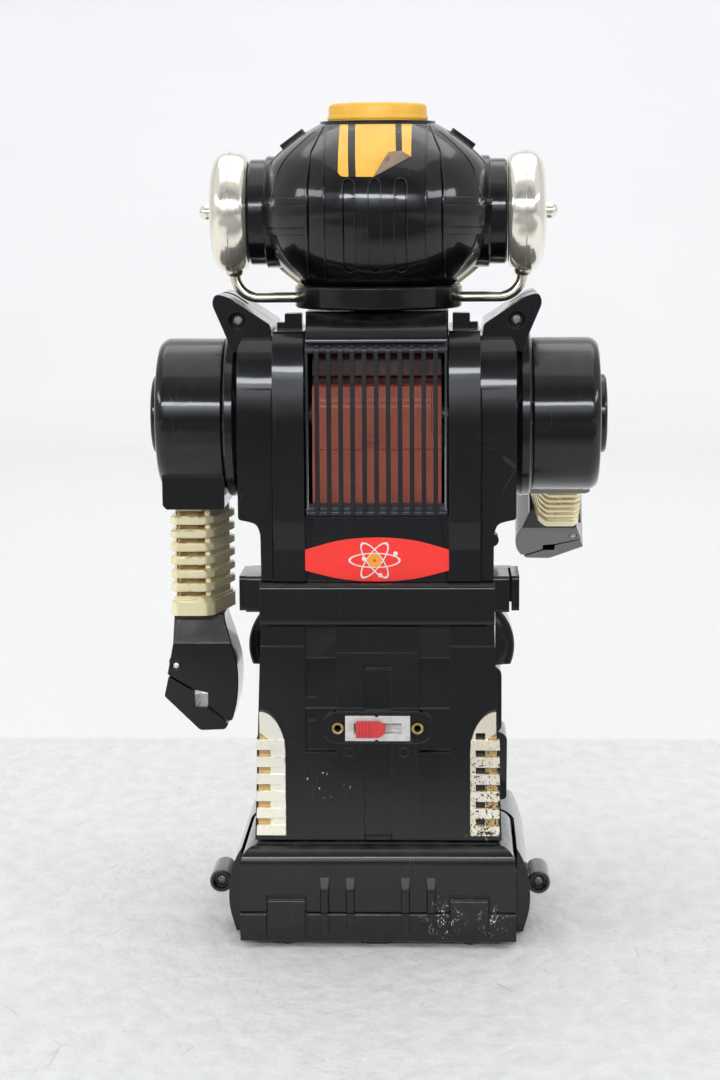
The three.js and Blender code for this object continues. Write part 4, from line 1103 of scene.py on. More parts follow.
def torso_rear():
    """The back of the torso: grille window, lugs, small of the back, screw pockets and fine grooves."""
    lug = prism("y", rounded(28.6, 35.2, 229, 240.6, 0.6), 12, 20)
    low_lug = block(35.2, 38.2, 12, 19, 229, 237.2)
    lower_panel = prism(
        "y",
        eased(
            [(-26.6, TORSO_LOW, 0.3), (26.6, TORSO_LOW, 0.3), (24.2, 164.8, 0.4), (-24.2, 164.8, 0.4)],
            0.3,
        ),
        34, 36.9,
    )
    panel_face = prism("z", [(-30, 30), (-30, 36.0), (-18, 36.9), (18, 36.9), (30, 36.0), (30, 30)], 139, 170)
    side_groove = block(39.0, 39.5, 35.2, 45, TORSO_LOW, 229)
    hood_groove = block(26.4, 27.3, 24, 45, 229, 250)
    window = block(-27, 27, 27, 60, 165.1, 230.3)
    pocket = turned(
        "y", [(22, 0), (22, 2.7), (25.4, 2.9), (26.0, 3.4), (27, 3.4), (27, 0)], WING_HOLE, 48
    )
    solid = join(torso_half(1), *pair(lug), *pair(low_lug), common(lower_panel, panel_face))
    return cut(solid, window, *pair(pocket), *pair(side_groove), *pair(hood_groove))


def torso_front():
    """The chest: a recess for the instrument panel, side vents and two studs under the hip steps."""
    seat = prism("y", rounded(-26, 26, 150, 229, 2), -60, -37.6)
    vents = [block(42.5, 50.5, -45, -34.6, z, z + 2.2) for z in range(170, 204, 6)]
    stud = bar("y", 2.5, -18, -9, (44.4, 149.3))
    return join(cut(torso_half(-1), seat, *pairs(vents)), *pair(stud))


def grille():
    """The grille's sloping rails and stiles, and the eleven upright bars that ride over both rails."""
    frame_side = eased(
        [(33.4, 165.3), (37.4, 165.3, 0.3), (38.2, 166.4, 0.4), (36.6, 169.8, 0.3), (33.4, 169.8)], 0.2
    )
    top_side = eased(
        [(33.4, 226.4), (37.2, 226.4, 0.3), (38.3, 227.6, 0.4), (34.9, 232.4, 0.4), (33.4, 232.4)], 0.2
    )
    rails = [prism("x", frame_side, -26.6, 26.6), prism("x", top_side, -26.6, 26.6)]
    stiles = pair(block(25.6, 26.6, 33.4, 37.4, 166, 230))
    bar_side = eased(
        [
            (36.2, 165.9), (38.5, 165.9, 0.6), (39.1, 167.4, 0.8), (39.1, 228, 0.8), (37.6, 230.4, 0.8),
            (36.2, 230.6),
        ],
        0.4,
    )
    pitch = 2 * GRILLE_HALF / (GRILLE_BARS + 1)
    bars = []
    for i in range(GRILLE_BARS):
        middle = -GRILLE_HALF + pitch * (i + 1)
        bars.append(prism("x", bar_side, middle - 0.85, middle + 0.85))
    return join(rails[0], rails[1], *stiles), join(bars[0], *bars[1:])


def voice_case():
    """The voice unit's stepped brown case, and its slotted top, split off to carry a darker brown of painted
    shade.
    """
    side = eased(
        [
            (14, 164), (33.0, 164), (33.2, 189.4, 0.3), (31.8, 190.2, 0.3), (31.8, 206.4, 1.2),
            (30.8, 208.2, 1.0), (30.8, 213.6, 0.4), (27.2, VOICE_TOP_LOW, 0.4), (27.2, 216.8, 0.4),
            (29.0, 217.4, 0.4), (26.8, 228.4, 1.0), (14, 228.4),
        ],
        0.3,
    )
    solid = prism("x", side, -24.4, 24.4)
    slots = []
    for i in range(9):
        x = -21 + i * 5.2
        slots.append(block(x - 1.8, x + 1.8, 26.0, 40, 214.6, 216.6))
    notch = block(-25, -20.6, 29.8, 40, 196, 212)
    boss = turned("y", [(26, 0), (26, 3.4), (32.8, 3.4), (33.2, 2.9), (33.2, 0)], (2.4, 191.8), 40)
    hole = bar("y", 1.3, 31.2, 40, (2.4, 191.8))
    whole = cut(join(cut(solid, *slots, notch), boss), hole)
    # Painted shade: the top of the case is split off so that it can be given a darker brown.
    shaded_top_space = block(-30, 30, 10, 40, VOICE_TOP_LOW, 230)
    return cut(whole, shaded_top_space), common(whole, shaded_top_space)


def label_outline():
    """A lens with its two ends cut off."""
    upper = [(-27.2, 152.4), (-14, 155.9), (0, 157.0), (14, 155.9), (27.2, 152.4)]
    lower = [(27.2, 144.4), (14, 141.2), (0, 140.2), (-14, 141.2), (-27.2, 144.4)]
    return flowing(upper, 6) + flowing(lower, 6)


def belt_label():
    return prism("y", eased(label_outline(), 0.15), 36.9, 37.5)


def flat_ellipse(half_length, half_height, degrees, y0, y1, centre):
    outline = []
    for i in range(72):
        angle = 2 * math.pi * i / 72
        a = half_length * math.cos(angle)
        b = half_height * math.sin(angle)
        turn = math.radians(degrees)
        x = centre[0] + a * math.cos(turn) - b * math.sin(turn)
        z = centre[1] + a * math.sin(turn) + b * math.cos(turn)
        outline.append((x, z))
    return prism("y", outline, y0, y1)


EMBLEM_CENTRE = (0.9, 148.3)
PRINT_LOW = 37.3


def emblem_orbits():
    """Three crossed ellipses with one bead on each: a plain atom sign."""
    top = 37.62
    orbits = []
    for degrees, length, height in ((0, 9.9, 2.9), (54, 8.3, 2.9), (-54, 8.3, 2.9)):
        outer = flat_ellipse(length, height, degrees, PRINT_LOW, top, EMBLEM_CENTRE)
        inner = flat_ellipse(length - 0.85, height - 0.42, degrees, 37, 38, EMBLEM_CENTRE)
        orbits.append(cut(outer, inner))
    beads = [(-7.0, 150.9), (4.9, 148.9), (-1.2, 142.6)]
    discs = [flat_ellipse(0.85, 0.85, 0, PRINT_LOW, top, (x, z)) for x, z in beads]
    return join(orbits[0], *orbits[1:], *discs)


def chest_plate():
    """A gold instrument panel: a ribbed dial, a framed window and a row of keys."""
    plate = prism("y", rounded(-25.4, 25.4, 152, 228, 1.6), -39.4, -37.9)
    rim = cut(
        prism("y", rounded(-24.4, 24.4, 153, 227, 1.2), -40, -39),
        prism("y", rounded(-23.4, 23.4, 154, 226, 1.0), -42, -38),
    )
    dial = turned(
        "y", [(-38, 0), (-38, 9), (-41, 9), (-41.6, 8.2), (-41.6, 6.4), (-40.8, 5.8), (-40.8, 0)],
        (0, 206), 72,
    )
    pointer = prism("y", [(-0.8, 201), (0.8, 201), (0.5, 211), (-0.5, 211)], -41.4, -40)
    frame_bars = cut(
        prism("y", rounded(-20, 20, 160, 184, 1.0), -40.7, -39),
        prism("y", rounded(-17, 17, 163, 181, 0.6), -42, -39.7),
    )
    keys = [block(x - 1.6, x + 1.6, -40.7, -39, 155, 157.6) for x in (-15, -9, -3, 3, 9, 15)]
    studs = [bar("y", 1.5, -40.6, -39, (x, z), 24) for x in (-19, 19) for z in (194, 218)]
    ribs = [block(x - 0.5, x + 0.5, -40.2, -39, 198, 214) for x in (-15.5, -13, 13, 15.5)]
    return join(plate, rim, dial, pointer, frame_bars, *keys, *studs, *ribs)


def cross_screw(radius, rear, depth, x, z):
    """A pan-head screw with a cross recess."""
    head = turned(
        "y",
        [
            (rear - depth, 0), (rear - depth, radius), (rear - 0.7, radius), (rear - 0.2, radius * 0.72),
            (rear, radius * 0.35), (rear, 0),
        ],
        (x, z), 40,
    )
    arm = radius * 0.62
    slot_a = block(x - arm, x + arm, rear - 0.9, rear + 1, z - 0.34, z + 0.34)
    slot_b = block(x - 0.34, x + 0.34, rear - 0.9, rear + 1, z - arm, z + arm)
    return cut(head, turned_by(slot_a, 20, "Y", (x, rear, z)), turned_by(slot_b, 20, "Y", (x, rear, z)))


def build_torso():
    shell = look["shell"]
    piece("torso_rear_look", torso_rear(), "body", "black_shell", shell, ["torso_rear_shell"], bevel=0.4)
    piece("torso_front_look", torso_front(), "body", "black_shell", shell, ["torso_front_shell"], bevel=0.4)
    rails, bars = grille()
    # Painted sheen: the rails' lighter blue-grey colour.
    piece("rear_grille_look", rails, "body", "black_shell", look["rails"], ["rear_grille"], bevel=0.2)
    piece("grille_bars", bars, "body", "black_shell", look["grille"], bevel=0.2)
    case, shaded_top = voice_case()
    piece("voice_unit_look", case, "body", "brown_case", look["brown"], ["voice_unit_case"], bevel=0.2)
    # Painted shade: the top of the voice unit gets the darker brown.
    piece("voice_unit_top_painted_shade", shaded_top, "body", "brown_case", look["brown_painted_shade"], bevel=0.2)
    piece(
        "belt_label_look", belt_label(), "body", "red_label", look["red_label"], ["belt_label"],
        bevel=0.08, clamp=False,
    )
    piece("emblem_orbits", emblem_orbits(), "body", "red_label", look["white_print"], bevel=0)
    hub = flat_ellipse(2.6, 2.6, 0, PRINT_LOW, 37.7, EMBLEM_CENTRE)
    piece("emblem_hub", hub, "body", "red_label", look["orange_print"], bevel=0)
    dot = flat_ellipse(0.55, 0.55, 0, PRINT_LOW, 37.75, EMBLEM_CENTRE)
    piece("emblem_dot", dot, "body", "red_label", look["red_knob"], bevel=0)
    piece(
        "chest_plate_look", chest_plate(), "body", "gold", look["gold"], ["chest_plate"], bevel=0.2,
        clamp=False,
    )
    screw = cross_screw(2.2, 23.6, 1.6, *WING_HOLE)
    piece_pair("wing_screw", screw, "body", "steel", look["screw"], bevel=0)


# ---------------------------------------------------------------- pelvis, legs and slide switch
LEG_LOW = 40
LEG_TOP = 124
LEG_BACK = 39
SWITCH_Z = 84
RIVET_X = 15.2
TRIM_LOW = 42.4
TRIM_PITCH = 6.68
TRIM_BARS = 6
POCKET_INNER = 15.8
POCKET_OUTER = 27.6
POCKET_LOW = 74.4
STEP_Z = 91.6
STRIP_TOP = 108.4


def leg_outline(inset, low, high):
    def half_at(z):
        return 47.3 + (44.3 - 47.3) * (z - LEG_LOW) / (LEG_TOP - LEG_LOW) - inset
    return both_sides([(half_at(low), low), (half_at(high), high)])


def stadium(x, radius, z):
    """A bar with round ends, lying along X about x = 0."""
    return arc((x, z), radius, -90, 90, 20) + arc((-x, z), radius, 90, 270, 20)


def leg_recesses():
    """Cut out of the back of the legs: side and middle steps, the stepped pockets, the centre channel."""
    side_step = block(POCKET_OUTER, 60, LEG_BACK - 1.5, 50, 115.4, LEG_TOP)
    middle_step = block(-POCKET_INNER, POCKET_INNER, LEG_BACK - 0.9, 50, 113, LEG_TOP)
    pocket_sides = [
        [(LEG_BACK - 1.6, STEP_Z), (50, STEP_Z), (50, LEG_TOP), (LEG_BACK - 3.8, LEG_TOP)],
        [(LEG_BACK - 3.3, 110.6), (50, 110.6), (50, 122), (LEG_BACK - 4.5, 122)],
        [
            (LEG_BACK - 2.5, 91), (LEG_BACK - 1.4, POCKET_LOW + 0.9), (LEG_BACK - 0.2, POCKET_LOW),
            (50, POCKET_LOW), (50, 91),
        ],
    ]
    pockets = [prism("x", side, POCKET_INNER, POCKET_OUTER) for side in pocket_sides]
    strip = block(-5.3, 5.3, LEG_BACK - 1.8, 50, 30, STRIP_TOP)
    strip_end = block(-5.0, 5.0, LEG_BACK - 4.5, 50, 106.2, STRIP_TOP)
    inner_step = block(5.3, POCKET_INNER, LEG_BACK - 0.5, 50, STEP_Z, 113)
    return [*pair(side_step), middle_step, *pairs(pockets), strip, strip_end, *pair(inner_step)]


def leg_rear():
    """The back of the legs: belt band, recessed step, two deep pockets, centre channel, switch bezel."""
    limb = prism("y", leg_outline(0, LEG_LOW, LEG_TOP + 2), PART_LINE, LEG_BACK)
    belt_side = eased(
        [
            (PART_LINE, 124), (41.4, 124, 0.8), (42, 125.6, 1), (42, 138.4, 1.2), (41, 139.8, 1.0),
            (PART_LINE, 139.8),
        ],
        0.8,
    )
    belt = prism("x", belt_side, -44.4, 44.4)
    hip = prism("x", rounded(10, 36, 128, 141.8, 1.5), 44, 50)
    bezel = prism("y", stadium(RIVET_X, 6.4, SWITCH_Z), 36, LEG_BACK + 0.8)
    bezel_lip = cut(
        prism("y", stadium(RIVET_X, 6.4, SWITCH_Z), 36, LEG_BACK + 1.1),
        prism("y", stadium(RIVET_X, 5.7, SWITCH_Z), 35, LEG_BACK + 2),
    )
    rib = prism(
        "x",
        [
            (LEG_BACK - 3, 40), (LEG_BACK, 40), (LEG_BACK, 41.2), (LEG_BACK - 1.8, 42.1),
            (LEG_BACK - 3, 42.1),
        ],
        -5.0, 5.0,
    )
    marks = [
        cut(bar("y", 1.9, 38, LEG_BACK + 0.06, (x, POCKET_LOW)), bar("y", 1.6, 38, 42, (x, POCKET_LOW)))
        for x in (11, -10)
    ]
    slab = join(limb, belt)
    slab = join(cut(slab, *leg_recesses()), *pair(hip), bezel, bezel_lip, rib, *marks)
    hollow = prism("y", leg_outline(WALL_THICKNESS, LEG_LOW - 2, LEG_TOP), -1, LEG_BACK - 5)
    belt_hollow = block(-41.5, 41.5, -1, 39.0, LEG_TOP - 1, 137.4)
    opening = block(-10, 10, 30, 50, SWITCH_Z - 3.6, SWITCH_Z + 3.6)
    seat = block(-12.8, 12.8, LEG_BACK + 0.1, 50, SWITCH_Z - 5.3, SWITCH_Z + 5.3)
    holes = pair(bar("y", 2.5, 30, 50, (RIVET_X, SWITCH_Z), 40))
    return cut(slab, hollow, belt_hollow, opening, seat, *holes)


def leg_front():
    """The front of the legs: thigh and shin guards, knee caps, a groove between the legs, belt buckle."""
    limb = prism("y", leg_outline(0, LEG_LOW, LEG_TOP + 2), -36, -PART_LINE)
    belt = block(-44.4, 44.4, -38.5, -PART_LINE, 124, 139.8)
    knee_guard = prism("y", eased([(44, 70, 0.4), (48.2, 72, 2), (48.2, 96, 2), (44, 99, 0.5)], 1), -33, -12)
    shin_guard = prism(
        "y", eased([(44, 43, 0.4), (50.2, 44, 1.5), (50.4, 70, 2.2), (44, 73, 0.5)], 1), -34, -10
    )
    tab = prism("x", rounded(-14, 14, 124.8, 138.5, 1.6), 51.4, 54.4)
    tab_arm = block(44, 52, -14, -8, 124.8, 138.5)
    knee_pad = prism("y", eased([(8, 74), (36, 74), (34, 100), (10, 100)], 3), -39, -35)
    shin_pad = prism("y", eased([(8, 44), (38, 44), (36, 71), (9, 71)], 2), -39, -35)
    knee_ribs = [block(12, 32, -39.8, -38, z, z + 1.6) for z in (79, 84, 89, 94)]
    shin_ribs = [block(13, 33, -39.8, -38, z, z + 1.6) for z in (49, 54, 59, 64)]
    buckle = prism("y", rounded(-14, 14, 126.5, 138.5, 2), -40.2, -38)
    hollow = prism("y", leg_outline(WALL_THICKNESS, LEG_LOW - 2, LEG_TOP), -33.4, 1)
    belt_hollow = block(-41.5, 41.5, -36, 1, LEG_TOP - 1, 137.4)
    groove = block(-1.5, 1.5, -60, -34.6, 30, 118)
    sides = [knee_guard, shin_guard, tab, tab_arm, knee_pad, shin_pad, *knee_ribs, *shin_ribs]
    return cut(join(limb, belt, *pairs(sides), buckle), hollow, belt_hollow, groove)


def hip_disc():
    """A round hip cover that stands out past the side of the leg."""
    profile = [
        (-35.6, 0), (-35.6, 15.8), (-35.0, 17), (-34.2, 17.4), (-34, 19.6), (-33.2, 20.3), (-14.8, 20.3),
        (-14, 19.6), (-13.8, 17.4), (-12.9, 17), (-12.4, 15.8), (-12.4, 0),
    ]
    disc = turned("y", profile, (33, 106), 128)
    return cut(disc, block(0, 45.6, -60, 20, 60, 140), block(40, 60, -60, 20, 60, 98.4))


def shin_trim(windows):
    """A gold corner trim: a column inside, bars reaching outwards, a quarter round on top.

    With windows the column is open between the bars, as on the robot's right leg.
    """
    top = 90.6
    outer_low, outer_high = 46.4, 45.0
    quarter = []
    for degrees in range(0, 91, 9):
        turn = math.radians(degrees)
        quarter.append((outer_high - 9.8 * math.sin(turn), top - 16 * (1 - math.cos(turn))))
    plate = prism("y", [(outer_low - 0.3, TRIM_LOW)] + quarter + [(35.2, TRIM_LOW)], 39.1, 39.7)
    column_edge = [
        (35.2, 70), (35.2, TRIM_LOW), (41.2, TRIM_LOW), (40.8, 78.5), (42.4, 80.8), (outer_high, 82.6)
    ]
    column = prism("y", quarter + column_edge, 39.2, 41.5)
    bars = []
    gaps = []
    for i in range(TRIM_BARS):
        z = TRIM_LOW + 0.2 + i * TRIM_PITCH
        outline = eased([(35.4, z), (46.5, z), (46.3, z + 3.9), (35.4, z + 3.9)], 0.3)
        bars.append(prism("y", outline, 39.2, 42.1))
        gaps.append(block(37.3, 40.9, 38, 43, z + 4.0, z + TRIM_PITCH - 0.1))
    if windows:
        column = cut(column, *gaps)
        plate = cut(plate, *gaps)
    return join(plate, column, *bars)


def switch_plate():
    """A rolled steel plate with a slot for the knob and a nick above and below it."""
    plate = prism("y", rounded(-12.4, 12.4, 79.1, 88.9, 0.4), 39.4, 40.3)
    housing = block(-9.6, 9.6, 31, 39.6, 80.8, 87.2)
    channel = block(-9, 9, 36.5, 50, 82, 86)
    nicks = [bar("y", 0.7, 39, 41, (0.4, z), 20) for z in (79.0, 89.0)]
    return cut(join(plate, housing), channel, *nicks)


def switch_knob():
    """The slide's knob: square at one end, an arrow at the other, with a raised half and finger lines."""
    left, right = 8.25, -3.05
    stem = block(0, 5.2, 37, 41, 82.4, 85.6)
    cap = prism(
        "y",
        eased(
            [
                (left, 80.9), (left, 87.1), (right + 2.4, 87.1), (right, 85.0), (right, 83.0),
                (right + 2.4, 80.9),
            ],
            0.35,
        ),
        40.6, 42.6,
    )
    raised = prism(
        "y", eased([(left - 0.2, 81.1), (left - 0.2, 86.9), (3.2, 86.9), (3.2, 81.1)], 0.3), 42, 43.2
    )
    lines = [block(x, x + 0.35, 43.0, 44, 80, 88) for x in (4.2, 5.4, 6.6)]
    return cut(join(stem, cap, raised), *lines)


def switch_rivet():
    flange = turned(
        "y", [(40.2, 0), (40.2, 2.3), (40.6, 2.3), (40.9, 1.9), (40.7, 1.4), (40.2, 1.3), (40.0, 0)],
        (RIVET_X, SWITCH_Z), 48,
    )
    shank = bar("y", 1.9, 35.5, 40.4, (RIVET_X, SWITCH_Z), 48)
    return cut(join(flange, shank), bar("y", 1.3, 30, 50, (RIVET_X, SWITCH_Z), 40))


def build_legs():
    shell = look["shell"]
    piece("leg_rear_look", leg_rear(), "body", "black_shell", shell, ["leg_rear_shell"], bevel=0.45)
    piece("leg_front_look", leg_front(), "body", "black_shell", shell, ["leg_front_shell"], bevel=0.5)
    piece_pair("hip_disc", hip_disc(), "body", "black_shell", shell, bevel=0)
    left_trim = shin_trim(windows=False)
    right_trim = mirrored(shin_trim(windows=True))
    piece("shin_trim_left_look", left_trim, "body", "gold", look["trim_gold"], ["shin_trim_left"], bevel=0.2)
    piece(
        "shin_trim_right_look", right_trim, "body", "gold", look["worn_gold"], ["shin_trim_right"],
        bevel=0.2,
    )
    piece("switch_plate_look", switch_plate(), "body", "steel", look["steel"], ["switch_plate"], bevel=0.12)
    piece(
        "switch_knob_look", switch_knob(), "switch_knob", "red_knob", look["red_knob"], ["switch_knob"],
        bevel=0.2,
    )
    piece_pair("switch_rivet", switch_rivet(), "body", "brass", look["brass"], bevel=0)


# ---------------------------------------------------------------- battery box
BOX_HALF = 52.9
BOX_REAR = 48
BOX_TOP = 39.5
PARTING_Z = 14
TAB_X = (27.8, 41.9)
TAB_TOP = 19.6
RIB_XS = (10.5, 20.3)
RIB_TOP = 29.0
BOX_FLOOR = 2.4
DOOR_TOP = 13.8
ROLLER = (42, 3.2)


def box_outline():
    """The box seen from behind: upright sides with a slight draft and round upper corners."""
    return both_sides(
        eased(
            [(BOX_HALF, BOX_FLOOR, 0.1), (BOX_HALF - 0.5, BOX_TOP, 8.0), (0, BOX_TOP, 0)], 0.1, steps=8,
            closed=False,
        )[:-1],
    )


def box_side():
    """The box seen from the side: its rear top edge is rolled over."""
    return eased(
        [
            (-10, BOX_FLOOR, 0.1), (BOX_REAR, BOX_FLOOR, 0.1), (BOX_REAR - 0.3, BOX_TOP, 7.5),
            (-10, BOX_TOP, 0.1),
        ],
        0.1, steps=8,
    )


def fading_rib(x, low, high):
    """An upright rib with rounded sides; its back leans in towards the top and sinks into the box face."""
    proud = BOX_REAR + 1.2
    side = eased(
        [
            (44, low), (BOX_REAR - 0.8, low, 0.4), (proud, low + 2, 1.5), (proud, high - 6.6, 1.2),
            (BOX_REAR - 0.25, high - 0.9, 0.5), (BOX_REAR - 0.9, high, 0.3), (44, high),
        ],
        0.1,
    )
    left, right = x - 1.7, x + 1.7
    plan = eased([(left, 44), (right, 44), (right, proud, 1.3), (left, proud, 1.3)], 0.1)
    face = eased([(left, low), (right, low), (right, high, 1.7), (left, high, 1.7)], 0.1, steps=8)
    return common(
        prism("x", side, left - 1, right + 1), prism("z", plan, low - 1, high + 1),
        prism("y", face, 40, proud + 1),
    )


def battery_case():
    body = common(prism("y", box_outline(), -12, 50), prism("x", box_side(), -60, 60))
    ribs = [fading_rib(x, -4, RIB_TOP) for x in RIB_XS]
    solid = join(body, *pairs([common(rib, block(-60, 60, 40, 60, BOX_FLOOR, 40)) for rib in ribs]))
    hollow = block(-50.9, 50.9, -7.6, BOX_REAR - 2.2, 0, BOX_TOP - 2.5)
    hollow = common(hollow, prism("x", [(-8, 0), (45.8, 0), (45.8, 31), (41, 37), (-8, 37)], -60, 60))
    corners = both_sides([(50.9, -1), (50.9, 31), (45, 37)])
    hollow = common(hollow, prism("y", corners, -20, 60))
    seat = block(-60, 60, BOX_REAR - 4.4, BOX_REAR + 4, -1, PARTING_Z + 0.2)
    low, high = TAB_X
    tab_seat = prism(
        "y",
        eased(
            [
                (low - 0.6, 8), (high + 0.6, 8), (high + 0.6, TAB_TOP + 1.2, 0.5),
                (low - 0.6, TAB_TOP + 1.2, 0.5),
            ],
            0.1,
        ),
        46.4, 52,
    )
    hinge_seat = block(-21, 21, -11, -7, 0, 6.7)
    return cut(solid, hollow, seat, *pair(tab_seat), hinge_seat)


def battery_door():
    """The door: floor plate, rear upstand whose top edge stands proud, two snap tabs, roller cheeks."""
    plate = block(-50.5, 50.5, -6.2, BOX_REAR - 1, BOX_FLOOR, 4.9)
    upstand_side = eased(
        [(45.8, BOX_FLOOR, 0.2), (48, BOX_FLOOR, 1.5), (48.8, DOOR_TOP, 1.3), (45.8, DOOR_TOP, 0.2)], 0.2
    )
    upstand = prism("x", upstand_side, -52.7, 52.7)
    low, high = TAB_X
    tab = prism(
        "x",
        eased(
            [
                (46, 5), (48.5, 5, 0.8), (48.9, 8, 1), (48.9, TAB_TOP - 1, 0.8), (47.9, TAB_TOP, 0.6),
                (46, TAB_TOP, 0.3),
            ],
            0.4,
        ),
        low, high,
    )
    ribs = [common(fading_rib(x, 4.4, RIB_TOP), block(-60, 60, 40, 60, 2, DOOR_TOP)) for x in RIB_XS]
    barrel = bar("x", 1.7, -20, 20, (-9.3, 4.3), 40)
    web = block(-20, 20, -9.3, -6, 2.6, 4.9)
    foot = turned("z", [(0.6, 0), (0.6, 2.0), (1.0, 2.4), (3, 2.4), (3, 0)], (34.9, 43), 32)
    cheek = prism("x", eased([(39.4, 7), (39.4, 0.9), (44.6, 0.9), (44.6, 7)], 1.2), 4.9, 6.4)
    solid = join(plate, upstand, *pair(tab), *pairs(ribs), barrel, web, *pair(foot), *pair(cheek))
    side_slots = [block(x - 0.45, x + 0.45, 47.2, 52, 3.6, 14) for x in (low - 0.35, high + 0.35)]
    roller_slot = block(-4.9, 4.9, 38.2, 45.6, -1, 9)
    return cut(solid, *pairs(side_slots), roller_slot, bar("x", 1.4, -7, 7, ROLLER))


def rear_roller():
    tyre = turned("x", [(-4.5, 0), (-4.5, 2.8), (-4.1, 3.2), (4.1, 3.2), (4.5, 2.8), (4.5, 0)], ROLLER, 64)
    return join(tyre, bar("x", 1.2, -5.8, 5.8, ROLLER))


# ---------------------------------------------------------------- shoes
POD = (62, 19.5)


def shoe_section(inset):
    """The shoe from behind."""
    return eased(
        [
            (1.5 - inset * 2, 1.2 - inset * 2, 0.1), (55.8 - inset, 1.2 - inset * 2, 0.1),
            (58.9 - inset, 12, 8), (57.6 - inset, 27, 8), (51 - inset * 0.6, 38.6 - inset, 7),
            (1.5 - inset * 2, 38.6 - inset, 0.1),
        ],
        1, steps=8,
    )


def shoe_plan(inset):
    """The shoe from above."""
    return eased(
        [
            (-inset, -69.8 + inset, 0.1), (40, -69.8 + inset, 8),
            (54 - inset * 0.8, -63 + inset * 0.6, 9), (60 - inset, -40, 14),
            (60 - inset, 30 - inset, 0.1), (-inset, 30 - inset, 0.1),
        ],
        1, steps=8,
    )


def shoe_side(inset):
    """The shoe from the side."""
    return eased(
        [
            (-70 + inset, -inset, 0.1), (-70 + inset, 22, 8), (-64 + inset * 0.8, 33 - inset * 0.6, 8),
            (-50, 38.8 - inset, 10), (30 - inset, 40 - inset, 0.1), (30 - inset, -inset, 0.1),
        ],
        1, steps=8,
    )


def shoe_form(inset):
    """The whole shoe as a solid, drawn in by a distance."""
    return common(
        prism("y", shoe_section(inset), -70, 30), prism("z", shoe_plan(inset), -6, 50),
        prism("x", shoe_side(inset), -10, 70),
    )


def shoe_shell():
    """A big rounded slipper, hollow below, whose skirt runs back beside the battery box."""
    clearance = block(-5, 53.3, -16.5, 35, -5, 60)
    pod = turned(
        "y", [(5, 0), (5, 3.4), (6, 4.5), (25, 4.5), (26, 3.9), (26, 3.0), (22.6, 2.7), (22.6, 0)], POD,
        64,
    )
    pod = cut(pod, block(40, 58, -60, 40, 0, 40))
    sole_line = cut(
        common(shoe_form(-0.5), block(-5, 70, -71, 29, 4.6, 6.0)), shoe_form(0.6),
        block(-5, 53.2, -17, 36, -5, 60), block(53, 70, -16, 36, 0, 60),
    )
    toe_ridges = [
        common(cut(shoe_form(-0.5), shoe_form(1)), block(12, 44, y, y + 1.6, 20, 60))
        for y in (-58, -53.5, -49)
    ]
    shell = cut(shoe_form(0), shoe_form(2.6), clearance)
    return join(shell, pod, sole_line, *toe_ridges)


def build_base():
    box_look = look["box"]
    piece("battery_case_look", battery_case(), "body", "black_shell", box_look, ["battery_case"], bevel=0.4)
    piece(
        "battery_door_look", battery_door(), "battery_door", "black_shell", box_look, ["battery_door"],
        bevel=0.3,
    )
    piece(
        "rear_roller_look", rear_roller(), "rear_roller", "rubber", look["rubber"], ["rear_roller"],
        bevel=0,
    )
    shoe = shoe_shell()
    piece_pair("shoe", shoe, "shoe_{side}", "black_shell", look["limb"], bevel=0.35)
    screw = cross_screw(2.1, 23.8, 1.4, *POD)
    piece_pair("pod_screw", screw, "shoe_{side}", "steel", look["screw"], bevel=0)


# ---------------------------------------------------------------- arms, as the left one hangs
SLEEVE_LOW = 165.3
FOREARM_LOW = 123.2
FOREARM_HIGH = 165
RIB_HIGH = 160.5
RIB_PITCH = 5.26
PIN = (79.7, 102.8)
HAND_FRONT = -13
HAND_REAR = 12


def arm_shell():
    """Shoulder drum with a rolled rim, a stepped hub cap, and the square sleeve below it."""
    drum = turned(
        "x",
        [(58.9, 0), (58.9, 29.0), (59.6, 29.6)] + eased(
            [(59.6, 29.6), (82.2, 29.6, 3.5), (84.8, 27.6, 3.5), (85, 24.5)], 1, steps=8, closed=False
        )[1:] + [(85, 0)],
        (0, SHOULDER_Z), 128,
    )
    boss = turned(
        "x",
        [(84, 0), (84, 16.4), (85.3, 16.4), (85.3, 15.3), (87.0, 15.3), (87.7, 14.8), (88, 14), (88, 0)],
        (0, SHOULDER_Z), 96,
    )
    hub_ring = cut(
        bar("x", 11.8, 87, 89, (0, SHOULDER_Z), 96), bar("x", 11.2, 86, 90, (0, SHOULDER_Z), 96)
    )
    sleeve = prism(
        "y",
        eased(
            [
                (59.2, SLEEVE_LOW, 1.2), (81.7, SLEEVE_LOW, 0.4), (83.2, 166.9, 0.6),
                (83.4, SHOULDER_Z, 0), (59.2, SHOULDER_Z, 0),
            ],
            0.5,
        ),
        -19, 19,
    )
    hub = bar("x", 7.5, 59.9, 83, (0, SHOULDER_Z), 64)
    drum_hollow = bar("x", 27, 50, 82.4, (0, SHOULDER_Z), 96)
    sleeve_hollow = block(61.5, 80.6, -16.4, 16.4, 167.9, SHOULDER_Z)
    body = cut(join(drum, boss, sleeve), drum_hollow, sleeve_hollow, hub_ring)
    return cut(join(body, hub), bar("x", 4.2, 50, 83.8, (0, SHOULDER_Z)))


def forearm_plan(inset):
    return eased(
        [
            (80.9 - inset, -15, 1), (80.9 - inset, 14.6, 2.2), (78.6 - inset, 16 - inset, 1),
            (67 + inset, 16 - inset, 1.2), (64 + inset, 13 - inset, 1), (58 + inset, -12 + inset, 1.5),
            (59 + inset, -16 + inset, 1), (79 - inset, -16 + inset, 1),
        ],
        1,
    )


